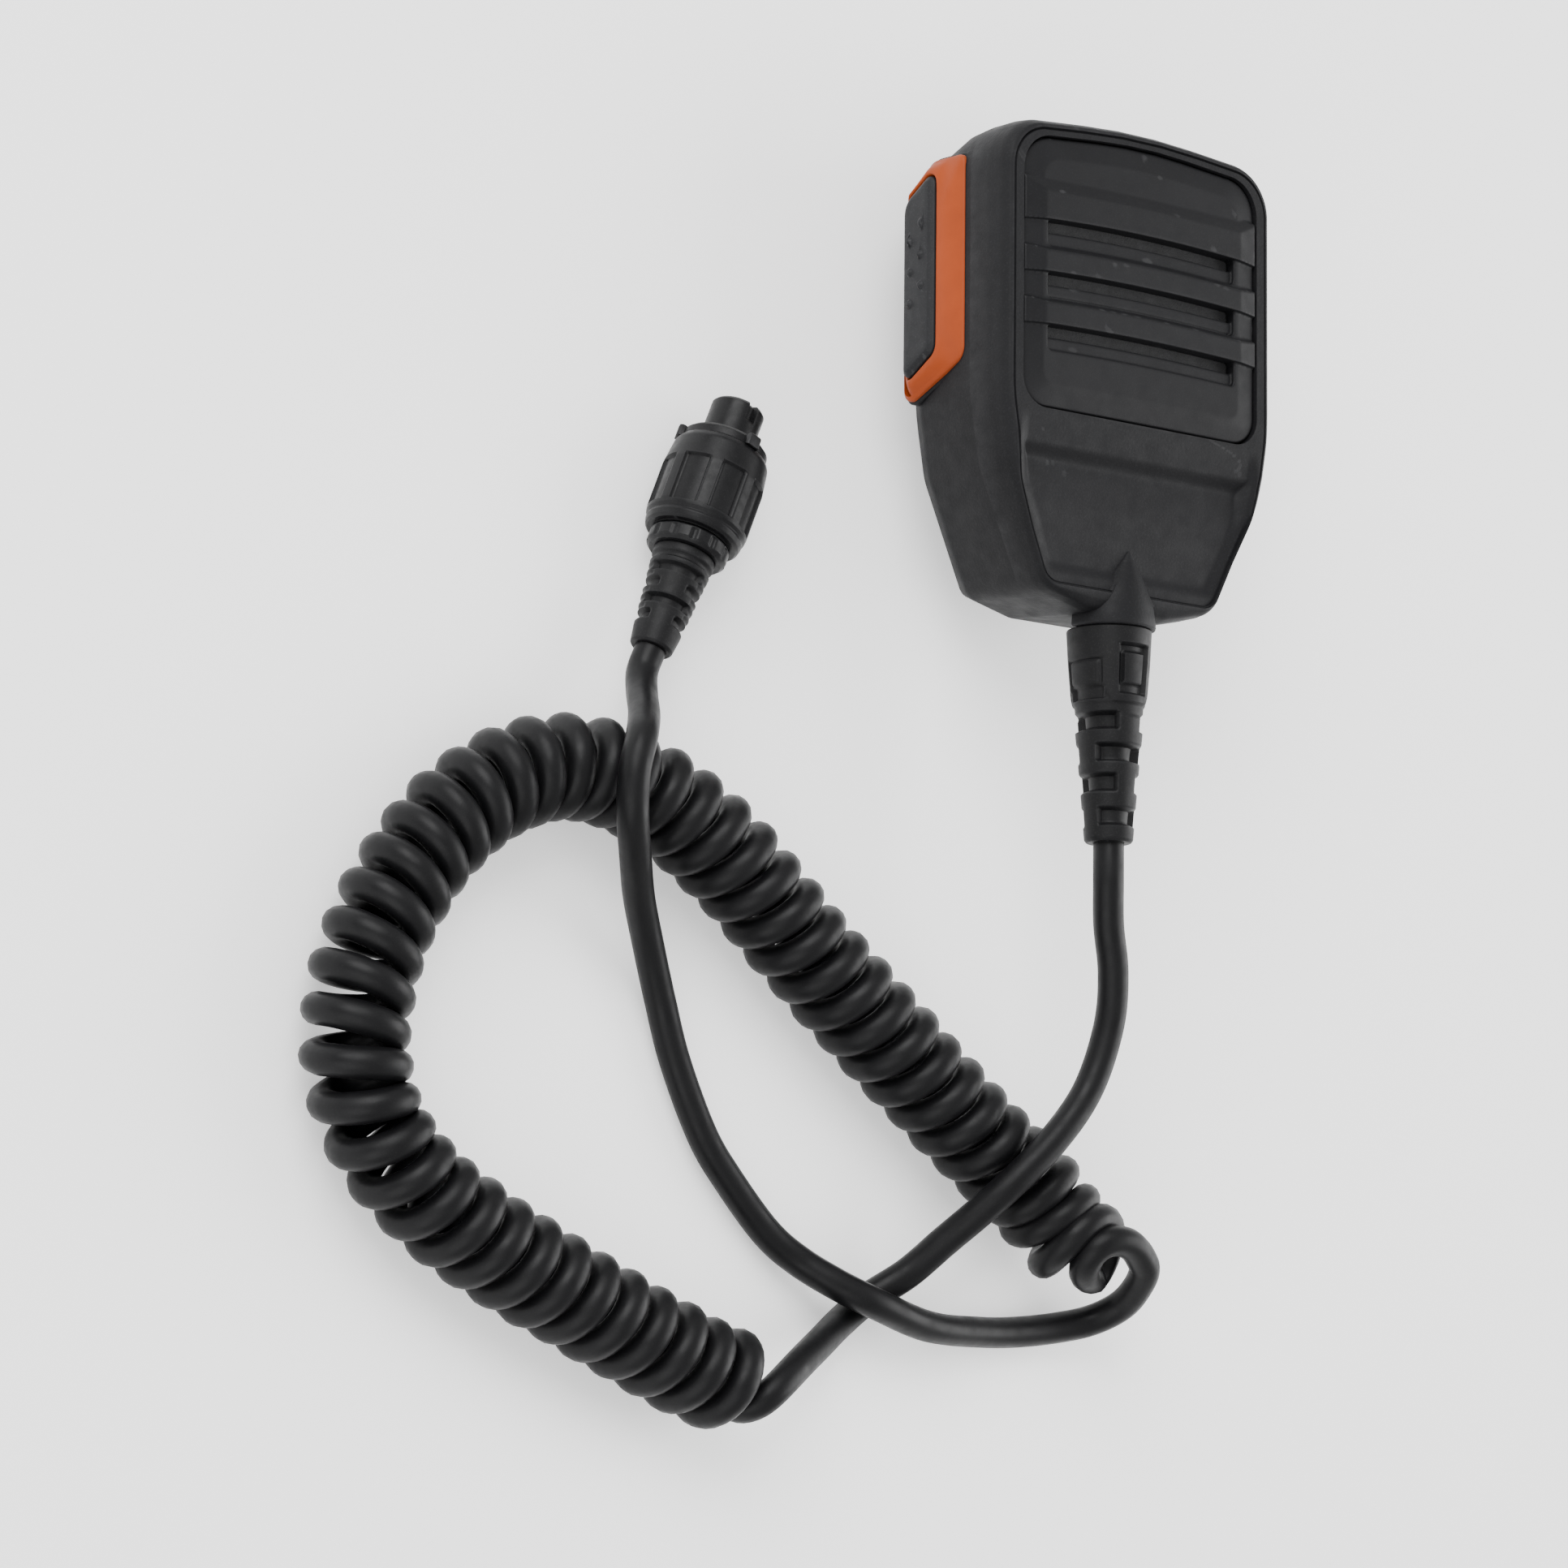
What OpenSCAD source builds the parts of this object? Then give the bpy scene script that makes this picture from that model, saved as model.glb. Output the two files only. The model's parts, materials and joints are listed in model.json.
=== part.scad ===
// Hand microphone with a talk button, a curly cord and a round locking plug.
// +Z is the way the grille faces, +Y points to the top of the casing, and the talk button is at -X.
// The origin is the centre of the outer face of the hang-up button, on which the casing lies.

/* [Casing] */
// Width of the casing across its grips
body_w = 63; // [60:0.5:66]
// Height of the crown of the casing above the button axis
top_y = 42.5; // [41:0.5:45]
// Distance of the cord end of the casing below the button axis
bottom_y = 45; // [44:0.5:47]
// Height of the casing's back above the face of the hang-up button
back_z = 9; // [8:0.5:10]
// Height of the parting line between the two shells
split_z = 28.6; // [28:0.2:29.4]
// Height of the casing's front round the grille
front_z = 38.1; // [37.8:0.1:38.4]
// Thickness of the shell walls
wall = 2; // [1.6:0.1:2.4]
// Thickness of the seal between the shells
seal_t = 0.5; // [0.4:0.1:0.8]

/* [Grille] */
// Width of the grille panel
panel_w = 54.4; // [52:0.2:55]
// Height of the grille panel's face
face_z = 38.9; // [38.7:0.1:39.3]
// Width of the sloping border of the panel
panel_slope = 4.4; // [3:0.2:5.5]
// Distance from one sound slot to the next
slot_pitch = 9.25; // [8.5:0.25:9.5]
// Height of the lower edge of the first slat above the button axis
slot_top_y = 22; // [21:0.5:22.5]
// Depth of the channels between the slats
channel_depth = 1.5; // [1:0.1:1.8]

/* [Talk button] */
// Stroke of the talk button
ptt_stroke = 1.2; // [0.8:0.1:1.4]
// Height of the talk button's centre line above the face of the hang-up button
ptt_z = 17; // [16.5:0.1:17.5]
// Gap round the talk button
ptt_gap = 0.35; // [0.3:0.05:0.5]

/* [Hang-up button] */
// Diameter of the head
head_d = 16; // [14:0.5:18]
// Thickness of the head
head_t = 3.2; // [2.8:0.2:3.6]
// Diameter of the neck
neck_d = 7.2; // [6.4:0.2:7.6]

/* [Cord and plug] */
// Diameter of the cord
cord_d = 5.5; // [5:0.1:5.6]
// Outer diameter of the curly part
coil_d = 18.6; // [18:0.1:18.6]
// Angle of the plug's axis from +Y towards +X
plug_turn = 22.5; // [20:0.5:25]
// Diameter of the plug's coupling sleeve
sleeve_d = 18; // [17.6:0.1:18.4]
// Diameter of the plug's nose
nose_d = 9.4; // [9:0.1:9.8]

/* [Hidden] */
$fn = 64;
hull_fn = 32;
eps = 0.05;
arc_step = 11;

half_w = body_w / 2;
boot_z = 29.6;
boot_end_y = -84;
neck_r = 8.3;
shell_hole_r = 5.4;
flange_r = 6.6;
tail_r = 2.9;
seal_low_z = split_z - seal_t / 2;
seal_high_z = split_z + seal_t / 2;
board_z = 22;
board_t = 1.6;
capsule_y = 11.5;
capsule_r = 4.85;
screw_spots = [[22.2, 33.4], [-22.2, 33.4], [16.8, -33.4], [-16.8, -33.4]];
board_spots = [[16, 30], [-16, 30], [17, -18], [-17, -18]];
clamp_spots = [[-9.5, -39.2], [9.5, -39.2]];
seat_x = -half_w + 0.6;
stop_x = -half_w + 3.2;
pad_face_x = -34.2;
pad_depth = 7.1;
ceiling_z = front_z - 5;
ledge_z = front_z - 2.3;
chin_depth = 0.8;
chin_wall = 3.6;
grip_y = 13;
plug_tail = [-85.5, -57.5, 9.3];
plug_length = 48;
key_start = 44.8;
pin_ring_r = 2.45;
grip_turn = -102.3;

// Closed outlines are lists of [x, y, corner radius], anticlockwise
// The casing at its parting line, at its front edge and at its back, which has rounder top corners
body_corners = [[9, -bottom_y + 0.6, 1.5], [19.8, -bottom_y + 3.2, 5], [29.2, -21, 14], [half_w, -8, 50],
    [half_w, top_y - 2.4, 9], [0, top_y + 0.2, 150], [-half_w, top_y - 2.4, 9], [-half_w, -8, 50],
    [-29.2, -21, 14], [-19.8, -bottom_y + 3.2, 5], [-9, -bottom_y + 0.6, 1.5]];
front_corners = [[9, -bottom_y, 1.5], [21, -bottom_y + 2.8, 5], [half_w, -20.5, 6], [half_w, top_y - 2.4, 9],
    [0, top_y + 0.2, 150], [-half_w, top_y - 2.4, 9], [-half_w, -20.5, 6], [-21, -bottom_y + 2.8, 5],
    [-9, -bottom_y, 1.5]];
back_corners = [for (c = body_corners) [c.x, c.y, c.z == 9 ? 15 : c.z]];
panel_corners = [[panel_w / 2, -10.8, 5], [panel_w / 2, 36.7, 6.5], [0, 39.1, 120],
    [-panel_w / 2, 36.7, 6.5], [-panel_w / 2, -10.8, 5]];
chin_corners = [[21.4, -39.4, 3], [27.2, -25, 6], [27.2, -17, 1.5], [-27.2, -17, 1.5], [-27.2, -25, 6],
    [-21.4, -39.4, 3]];
// In the plane of the grip: [y, z, corner radius]
bezel_corners = [[-1.4, 26.9, 3], [-8.2, 10.9, 2], [28, 10.9, 4], [35, 18.5, 3], [34.8, 26.9, 1.5]];
pad_corners = [[0.4, 20.8, 2.4], [-4.4, 12.6, 1.4], [28, 12.6, 4], [33, 20.8, 1.5]];

// Routes of the cord: round numbers in millimetres
lead_mic_route = [[0, -84, 29.6], [0, -91, 29.6], [1.5, -98, 28], [4, -106, 26.4], [4.5, -115, 24.8],
    [1.5, -126, 23], [-5, -135, 21.9], [-12.5, -143, 19.5], [-17, -148.5, 15.5], [-21, -153.5, 11],
    [-25.5, -159, 6.5], [-31.5, -163.5, 3.2], [-38, -168, 3.6], [-46, -172.5, 7.5], [-53, -176, 11.5],
    [-60, -179.5, 15]];
coil_route = [[-62, -181, 9.4], [-72, -178.5, 9.4], [-84, -174, 9.4], [-101, -167, 9.4],
    [-117, -160, 9.4], [-131, -152, 9.4], [-140, -143, 9.4], [-144, -133, 9.4], [-144, -123, 9.4],
    [-141, -112, 9.4], [-135, -101, 9.4], [-126, -90.5, 9.4], [-115, -83, 9.4], [-103, -79.5, 9.4],
    [-91, -80.5, 9.4], [-79, -85, 9.4], [-67, -92.5, 9.4], [-50, -106.5, 9.4], [-31, -121, 9.4],
    [-14.5, -133.2, 9.4], [-7.2, -138.2, 9.4], [0, -143, 9.6], [4.5, -148, 10.4], [7.6, -152, 12.6],
    [9.2, -154.6, 15.6], [9.7, -155.9, 18.4]];
lead_plug_route = [[8.4, -149.9, 20], [15.4, -152, 20.2], [19.6, -156.2, 17.4], [21, -159.8, 13.2],
    [20.6, -162.5, 9.2], [17.2, -164.8, 5.6], [11, -166.3, 3.4], [3, -167.4, 2.8], [-6, -168, 3.6], [-21, -168, 6.8], [-35, -165, 9.4], [-42, -162, 7.4], [-48, -158, 4],
    [-54, -153.5, 2.8], [-62, -145.5, 2.8], [-68, -138, 2.8], [-74, -126, 2.8], [-78, -116, 3.6],
    [-83, -107, 6.5], [-88.5, -100, 11], [-93.5, -94, 16.4], [-97.5, -88, 20.8], [-98.5, -81.5, 22.4],
    [-96.5, -75.5, 21.6], [-92.5, -70.5, 17], [-89.2, -66, 12], [-87.2, -61.6, 9.3], [-85.5, -57.5, 9.3]];

// ---------- Helpers ----------

function flat(p) = [p.x, p.y];
function unit(v) = v / norm(v);
function left_of(v) = [-v.y, v.x];
function turned(v, angle) = [v.x * cos(angle) - v.y * sin(angle), v.x * sin(angle) + v.y * cos(angle)];

// Corner b of an anticlockwise outline, moved inwards by d
function pulled(a, b, c, d) =
    let (n1 = left_of(unit(flat(b) - flat(a))),
        n2 = left_of(unit(flat(c) - flat(b))),
        p = flat(b) + (n1 + n2) * d / (1 + n1 * n2))
    [p.x, p.y, max(b.z - d, 0.4)];

// Arc that rounds corner b between its neighbours
function rounded(a, b, c) =
    let (u = unit(flat(a) - flat(b)),
        v = unit(flat(c) - flat(b)),
        half = acos(u * v) / 2,
        centre = flat(b) + unit(u + v) * b.z / sin(half),
        start = flat(b) + u * b.z / tan(half) - centre,
        sweep = 180 - 2 * half,
        steps = max(2, ceil(sweep / arc_step)))
    [for (k = [0 : steps]) centre + turned(start, k * sweep / steps)];

function outline(corners, d = 0) =
    let (n = len(corners),
        c = [for (i = [0 : n - 1]) pulled(corners[(i + n - 1) % n], corners[i], corners[(i + 1) % n], d)])
    [for (i = [0 : n - 1]) each rounded(c[(i + n - 1) % n], c[i], c[(i + 1) % n])];

// Thin slice of an outline, for hull() to span
module slice(corners, d, z) {
    translate([0, 0, z]) linear_extrude(eps) polygon(outline(corners, d));
}

module prism(corners, d, low, high) {
    translate([0, 0, low]) linear_extrude(high - low) polygon(outline(corners, d));
}

// Turns a shape drawn in the grip's plane, with its height towards -X
module on_grip(x) {
    translate([x, 0, 0]) rotate([90, 0, -90]) mirror([1, 0, 0]) children();
}

module tube(outer, inner, low, high) {
    translate([0, 0, low]) difference() {
        cylinder(h = high - low, r = outer);
        translate([0, 0, -1]) cylinder(h = high - low + 2, r = inner);
    }
}

// Cylinder along -Y from y1 down to y2, on the cord axis
module cord_axis(y1, y2, r) {
    translate([0, y1, boot_z]) rotate([90, 0, 0]) cylinder(h = y1 - y2, r = r);
}

// Places a shape drawn along +Z on the plug's axis, s from its tail
module on_plug(s = 0) {
    translate(plug_tail) rotate([0, 0, -plug_turn]) rotate([-90, 0, 0]) translate([0, 0, s]) children();
}

module pan_screw(head_r, head_h, shank_r, length, drive_r) {
    difference() {
        union() {
            cylinder(h = head_h, r1 = head_r - 0.4, r2 = head_r);
            cylinder(h = length, r = shank_r);
        }
        for (a = [0, 90])
            rotate([0, 0, a]) translate([-drive_r, -0.35, -1]) cube([2 * drive_r, 0.7, 1.9]);
    }
}

// Catmull-Rom curve through the route's points, each span cut into n pieces
function spline(p, n) =
    let (last = len(p) - 1)
    concat([for (i = [0 : last - 1], k = [0 : n - 1])
        let (a = p[max(i - 1, 0)], b = p[i], c = p[i + 1], d = p[min(i + 2, last)], t = k / n)
        0.5 * (2 * b + (c - a) * t + (2 * a - 5 * b + 4 * c - d) * t * t
            + (3 * b - a - 3 * c + d) * t * t * t)], [p[last]]);

function heading(p, i) = unit(p[min(i + 1, len(p) - 1)] - p[max(i - 1, 0)]);

function ring(centre, dir, r, n) =
    let (side = unit(cross(dir, [0, 0, 1])), up = cross(side, dir))
    [for (k = [0 : n - 1]) centre + r * (cos(360 * k / n) * side + sin(360 * k / n) * up)];

module swept(path, r, n) {
    last = len(path) - 1;
    points = [for (i = [0 : last]) each ring(path[i], heading(path, i), r, n)];
    sides = [for (i = [0 : last - 1], k = [0 : n - 1])
        [i * n + k, i * n + (k + 1) % n, (i + 1) * n + (k + 1) % n, (i + 1) * n + k]];
    start = [for (k = [0 : n - 1]) n - 1 - k];
    end = [for (k = [0 : n - 1]) last * n + k];
    polyhedron(points = points, faces = concat(sides, [start, end]), convexity = 10);
}

// ---------- Casing ----------

module neck_ring(low, high) {
    intersection() {
        cord_axis(-bottom_y + 4, -bottom_y - 1.4, neck_r);
        translate([-15, -60, low]) cube([30, 30, high - low]);
    }
}

// Opening for the cord boot: the wall's hole, the groove for its flange and room for its tail
module boot_opening() {
    cord_axis(-bottom_y + 3, -bottom_y - 5, shell_hole_r + eps);
    cord_axis(-bottom_y + 4.1, -bottom_y + 1.9, flange_r + 0.1);
    cord_axis(-36, -bottom_y + 3, tail_r + 0.2);
}

module front_shell() {
    color([0.2, 0.2, 0.21]) difference() {
        union() {
            difference() {
                hull() {
                    slice(body_corners, 0, seal_high_z);
                    slice(front_corners, 0.2, front_z - 3.9);
                    slice(front_corners, 0.8, front_z - 2.3);
                    slice(front_corners, 2.1, front_z - 1);
                    slice(front_corners, 3.6, front_z - eps);
                }
                prism(body_corners, wall, seal_high_z - 1, ceiling_z);
                chin_slope(0);
            }
            neck_ring(seal_high_z, 45);
            intersection() {
                neck_cone();
                translate([-20, -60, seal_high_z]) cube([40, 40, 20]);
            }
            for (p = screw_spots)
                translate([p.x, p.y, seal_high_z]) cylinder(h = 4.5, r = 3);
        }
        prism(panel_corners, -0.3, ledge_z, front_z + 1);
        prism(panel_corners, 2.4, ceiling_z - 0.1, front_z + 1);
        chin_pocket();
        boot_opening();
        clamp_room();
        for (p = screw_spots)
            translate([p.x, p.y, seal_high_z - 1]) cylinder(h = 4.4, r = 1.2);
    }
}

// Space under the chin for the cord clamp and its screws
module clamp_room() {
    translate([-12.6, -bottom_y + 4.1, seal_high_z - 1]) cube([25.2, 12, 3.3]);
}

// Room above the chin, where the front falls away to the cord; depth is measured from the front
module chin_slope(depth) {
    translate([half_w, 0, front_z - depth]) rotate([90, 0, -90]) mirror([1, 0, 0])
        linear_extrude(body_w) polygon([[-24.5, 0], [-37, -3], [-50, -3.4], [-50, 9], [-24.5, 9]]);
}

// Shallow field below the grille, with sloping sides
module chin_pocket() {
    difference() {
        union() {
            hull() {
                slice(chin_corners, 0, front_z + 0.1);
                slice(chin_corners, chin_wall, front_z - chin_depth);
            }
            intersection() {
                prism(chin_corners, chin_wall / 2, ceiling_z, front_z + 9);
                chin_slope(chin_depth);
            }
        }
        neck_cone();
    }
}

// Fairing that leads from the chin to the cord
module neck_cone() {
    hull() {
        translate([0, -33.6, front_z - 3.4]) sphere(r = 0.5, $fn = hull_fn);
        translate([0, -bottom_y + 6.5, boot_z]) rotate([90, 0, 0]) cylinder(h = 6, r = 7.7, $fn = hull_fn);
    }
}

module rear_shell() {
    color([0.19, 0.19, 0.2]) difference() {
        union() {
            difference() {
                rear_form();
                hull() {
                    slice(body_corners, wall, seal_low_z);
                    slice(back_corners, wall + 1.4, 13.8);
                    slice(back_corners, wall + 3.4, back_z + wall);
                }
            }
            neck_ring(0, seal_low_z);
            grip_seat();
            intersection() {
                rear_form();
                for (p = screw_spots)
                    translate([p.x, p.y, back_z]) cylinder(h = seal_low_z - back_z, r = 3.2);
            }
            for (p = board_spots)
                translate([p.x, p.y, back_z + 1]) cylinder(h = board_z - back_z - 1, r = 2.6);
            for (p = clamp_spots)
                translate([p.x, p.y, back_z + 1]) cylinder(h = 23.95 - back_z - 1, r = 2.4);
            translate([0, 0, back_z + 1]) cylinder(h = 8, r = 5.2);
        }
        boot_opening();
        on_grip(stop_x + 4) linear_extrude(12) polygon(outline(pad_corners, -ptt_gap));
        on_grip(stop_x + 2.6) linear_extrude(2.6) polygon(outline(pad_corners, -1.6));
        on_grip(seat_x) linear_extrude(4) polygon(outline(bezel_corners, -eps));
        for (p = screw_spots) {
            translate([p.x, p.y, back_z - 1]) cylinder(h = 30, r = 1.55);
            translate([p.x, p.y, back_z - 1]) cylinder(h = 6, r = 2.6);
        }
        for (p = board_spots)
            translate([p.x, p.y, board_z - 7]) cylinder(h = 8, r = 1.05);
        for (p = clamp_spots)
            translate([p.x, p.y, back_z + 8]) cylinder(h = 8, r = 1.05);
        translate([0, 0, back_z - 1]) cylinder(h = 12, r = 2.1);
        translate([0, 0, back_z + 1.5]) cylinder(h = 12, r = 3.05);
    }
}

// Outer form of the rear shell
module rear_form() {
    hull() {
        slice(body_corners, 0, seal_low_z - eps);
        slice(body_corners, 0.5, 24);
        slice(back_corners, 1.4, 13.4);
        slice(back_corners, 2.8, 10.2);
        slice(back_corners, 5.2, back_z);
    }
}

// Flat raised seat for the bezel on the talk side
module grip_seat() {
    on_grip(stop_x) linear_extrude(stop_x - seat_x) polygon(outline(bezel_corners, -0.5));
}

module shell_seal() {
    color([0.09, 0.09, 0.1]) difference() {
        prism(body_corners, 0.5, seal_low_z, seal_high_z);
        prism(body_corners, wall - 0.4, seal_low_z - 1, seal_high_z + 1);
        cord_axis(-30, -60, neck_r + 0.6);
    }
}

module housing_screws() {
    color([0.55, 0.55, 0.57]) for (p = screw_spots)
        translate([p.x, p.y, back_z + 3]) pan_screw(2.4, 1.9, 1.15, 20, 1.4);
}

// ---------- Grille ----------

// Side view of the face across the slats, as [y, z]
function channel(top) = [[top - 4.6, face_z + 1], [top - 4.6, face_z], [top - 3.9, face_z - channel_depth],
    [top, face_z - channel_depth], [top, face_z + 1]];

module grille_panel() {
    color([0.17, 0.17, 0.18]) difference() {
        hull() {
            slice(panel_corners, 0, ledge_z + 0.1);
            slice(panel_corners, 0, front_z - 0.9);
            slice(panel_corners, panel_slope, face_z - eps);
        }
        for (i = [0 : 2]) {
            top = slot_top_y - i * slot_pitch;
            translate([panel_w / 2 - 1.2, 0, 0]) rotate([90, 0, -90])
                mirror([1, 0, 0]) linear_extrude(panel_w - 2.4) polygon(channel(top));
            translate([-panel_w / 2 + panel_slope + 1, top - 2.3, ledge_z - 1])
                cube([panel_w - 2 * panel_slope - 2, 2.3, 5]);
        }
        translate([panel_w / 2 + 1, 0, 0]) rotate([90, 0, -90]) mirror([1, 0, 0]) linear_extrude(panel_w + 2)
            polygon([[-20, face_z - 0.5], [27.4, face_z - 0.5], [29.8, face_z + 0.02], [29.8, face_z + 3],
                [-20, face_z + 3]]);
    }
}

module grille_mesh() {
    color([0.05, 0.05, 0.05]) translate([-23.5, -5, ledge_z - 0.42]) cube([47, 29, 0.5]);
}

module capsule_holder() {
    color([0.08, 0.08, 0.08]) translate([0, capsule_y, 0]) difference() {
        union() {
            translate([0, 0, board_z + board_t]) cylinder(h = 8.8, r = 6.4);
            translate([0, 0, 32]) cylinder(h = ledge_z - 0.6 - 32, r = 5.6);
        }
        translate([0, 0, board_z]) cylinder(h = 9.8, r = capsule_r + 0.02);
        translate([0, 0, 31]) cylinder(h = 6, r = 3.4);
    }
}

module mic_capsule() {
    color([0.75, 0.75, 0.74]) translate([0, capsule_y, 25.2]) difference() {
        cylinder(h = 6.5, r = capsule_r);
        for (a = [0 : 60 : 300]) rotate([0, 0, a]) translate([2, 0, 6]) cylinder(h = 1, r = 0.35);
        translate([0, 0, 6]) cylinder(h = 1, r = 0.35);
    }
}

// ---------- Electronics ----------

module circuit_board() {
    color([0.1, 0.32, 0.16]) difference() {
        translate([-25, -24, board_z]) cube([50, 58, board_t]);
        for (p = board_spots)
            translate([p.x, p.y, board_z - 1]) cylinder(h = 4, r = 1.4);
        for (p = screw_spots)
            translate([p.x, p.y, board_z - 1]) cylinder(h = 4, r = 3.8);
        for (s = [-1, 1])
            translate([s * 1.27, capsule_y, board_z - 1]) cylinder(h = 4, r = 0.5);
    }
}

module board_screws() {
    color([0.62, 0.62, 0.64]) for (p = board_spots)
        translate([p.x, p.y, board_z + board_t + 1.5]) mirror([0, 0, 1]) pan_screw(2.2, 1.5, 0.98, 7.5, 1.2);
}

// Amplifier chip and the parts round it
module board_parts() {
    top = board_z + board_t;
    color([0.12, 0.12, 0.13]) translate([-3, -6, top]) cube([6, 5, 1.4]);
    color([0.7, 0.62, 0.5]) for (i = [0 : 4]) translate([-12 + 4.6 * i, -13, top]) cube([2, 1.25, 0.9]);
    color([0.7, 0.72, 0.75]) translate([12, 0, top]) cylinder(h = 4.2, r = 2);
}

module board_connector() {
    color([0.9, 0.88, 0.8]) difference() {
        translate([-7.5, -22.5, board_z + board_t]) cube([15, 5, 4.4]);
        translate([-6.5, -23.5, board_z + board_t + 0.8]) cube([13, 4.6, 2.8]);
    }
}

module wire_plug() {
    color([0.88, 0.86, 0.78]) difference() {
        translate([-6.4, -27.5, board_z + board_t + 0.9]) cube([12.8, 7.2, 2.6]);
        for (i = [-2 : 2])
            translate([i * 2.4, -27.5 + 3, board_z + board_t + 2.2]) rotate([90, 0, 0]) cylinder(h = 4, r = 0.62);
    }
}

module inner_wires() {
    tints = ["red", "white", "black", "green", "yellow"];
    for (i = [-2 : 2])
        color(tints[i + 2]) translate([i * 2.4, -25, board_z + board_t + 2.2])
            rotate([90, 0, 0]) cylinder(h = 6.7, r = 0.6);
    color("gray") hull() {
        translate([-5.4, -32.6, board_z + board_t + 1.6]) cube([10.8, 1, 1.2]);
        translate([0, -36.2, boot_z]) rotate([90, 0, 0]) cylinder(h = 0.4, r = 1.5, $fn = hull_fn);
    }
}

module cord_clamp() {
    color([0.3, 0.3, 0.31]) difference() {
        translate([-12, -40.8, 24]) cube([24, 3.4, 5.4]);
        cord_axis(-30, -42, tail_r + eps);
        for (p = clamp_spots) translate([p.x, p.y, 20]) cylinder(h = 10, r = 1.3);
    }
}

module clamp_screws() {
    color([0.62, 0.62, 0.64]) for (p = clamp_spots)
        translate([p.x, p.y, 31]) mirror([0, 0, 1]) pan_screw(2.1, 1.6, 0.98, 10, 1.2);
}

// ---------- Hang-up button ----------

module hang_button() {
    r = head_d / 2;
    color([0.72, 0.72, 0.73]) difference() {
        rotate_extrude() polygon([[0, 0], [r, 0], [r, head_t - 0.5], [r - 0.5, head_t],
            [neck_d / 2, head_t], [neck_d / 2, back_z - 0.6], [neck_d / 2 + 0.8, back_z - 0.05], [0, back_z - 0.05]]);
        translate([0, 0, -1]) cylinder(h = 12, r = 2.1);
        translate([0, 0, -1]) cylinder(h = 3.2, r = 2.9);
    }
}

module hang_button_screw() {
    color([0.5, 0.5, 0.52]) translate([0, 0, 0.6]) pan_screw(2.7, 1.6, 1.95, 14.6, 1.5);
}

module button_insert() {
    color([0.78, 0.62, 0.32]) difference() {
        translate([0, 0, back_z + 1.5]) cylinder(h = 6.5, r = 3);
        translate([0, 0, back_z]) cylinder(h = 12, r = 2);
    }
}

// ---------- Talk button ----------

module ptt_bezel() {
    color([0.86, 0.4, 0.16]) difference() {
        on_grip(seat_x) hull() {
            slice(bezel_corners, 0, 0);
            slice(bezel_corners, 0.5, 1.1);
            slice(bezel_corners, 2.0, 2.4);
        }
        on_grip(stop_x) linear_extrude(8) polygon(outline(pad_corners, -ptt_gap));
    }
}

// Pad with raised grip dots, a flange that keeps it in, and a stem that reaches the switch
module ptt_button() {
    color([0.24, 0.24, 0.25]) {
        on_grip(pad_face_x + pad_depth) hull() {
            slice(pad_corners, 0, 0);
            slice(pad_corners, 0, pad_depth - 1.1);
            slice(pad_corners, 0.7, pad_depth - 0.2);
            slice(pad_corners, 2.6, pad_depth - eps);
        }
        on_grip(stop_x + eps + 1) linear_extrude(1) polygon(outline(pad_corners, -1.2));
        translate([stop_x + 1, grip_y, ptt_z]) rotate([0, 90, 0]) cylinder(h = 1.25, r = 1.6);
        for (i = [0 : 2], row = [0, 1])
            translate([pad_face_x + 0.25, 23.6 - 5.6 * i - 2.9 * row, 18.1 - 2.9 * row])
                sphere(r = 0.75);
    }
}

// Rubber washer that keeps dust out of the switch
module plunger_seal() {
    color([0.07, 0.07, 0.07]) translate([-half_w + 6.8, grip_y, ptt_z]) rotate([0, 90, 0])
        tube(2.6, 1.25, 0, 0.7);
}

module ptt_switch() {
    color([0.1, 0.1, 0.11]) difference() {
        translate([-half_w + 7.5, 9.5, ptt_z - 3]) cube([6.5, 7, board_z - ptt_z + 3]);
        translate([-half_w + 7, grip_y, ptt_z]) rotate([0, 90, 0]) cylinder(h = 4.2, r = 1.2);
    }
}

module switch_plunger() {
    color([0.85, 0.3, 0.2]) translate([-half_w + 5.5, grip_y, ptt_z]) rotate([0, 90, 0]) cylinder(h = 4, r = 1.15);
}

// ---------- Cord ----------

module cord_boot() {
    start = -bottom_y - 1.5;
    length = start - boot_end_y;
    color([0.13, 0.13, 0.13]) difference() {
        union() {
            cord_axis(-36.6, -bottom_y + 3, tail_r);
            cord_axis(-bottom_y + 4, -bottom_y + 2, flange_r);
            cord_axis(-bottom_y + 2.1, start - 0.1, shell_hole_r);
            translate([0, start, boot_z]) rotate([90, 0, 0]) rotate_extrude()
                polygon([[0, 0], [7.5, 0], [7.2, 6], [6.7, 13.2], [6.3, 13.6], [5.9, 18.8], [5.2, 25.6],
                    [4.9, 29.4], [4.3, length - 0.4], [3.9, length], [0, length]]);
        }
        cord_axis(-30, -bottom_y + 1, 2.15);
        boot_slots(start - 16.5, 4.2, 0);
        boot_slots(start - 22.1, 3.9, 90);
        boot_slots(start - 27.3, 3.6, 0);
        boot_slots(start - 33.2, 3.4, 90);
        translate([-3, start - 11.6, boot_z + 6]) cube([6, 8.4, 3]);
    }
}

// Two opposite slots across the boot, which let it bend; turned by 90 they are at its front and back
module boot_slots(y, core_r, turn) {
    translate([0, y, boot_z]) for (side = [0, 180])
        rotate([0, turn + side, 0]) translate([core_r, -1.5, -8]) cube([6, 3, 16]);
}

module lead_mic() {
    color([0.14, 0.14, 0.15]) swept(spline(lead_mic_route, 1), cord_d / 2, 10);
}

module cord_coil() {
    color([0.14, 0.14, 0.15]) swept(spline(coil_route, 1), coil_d / 2, 12);
}

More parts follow.
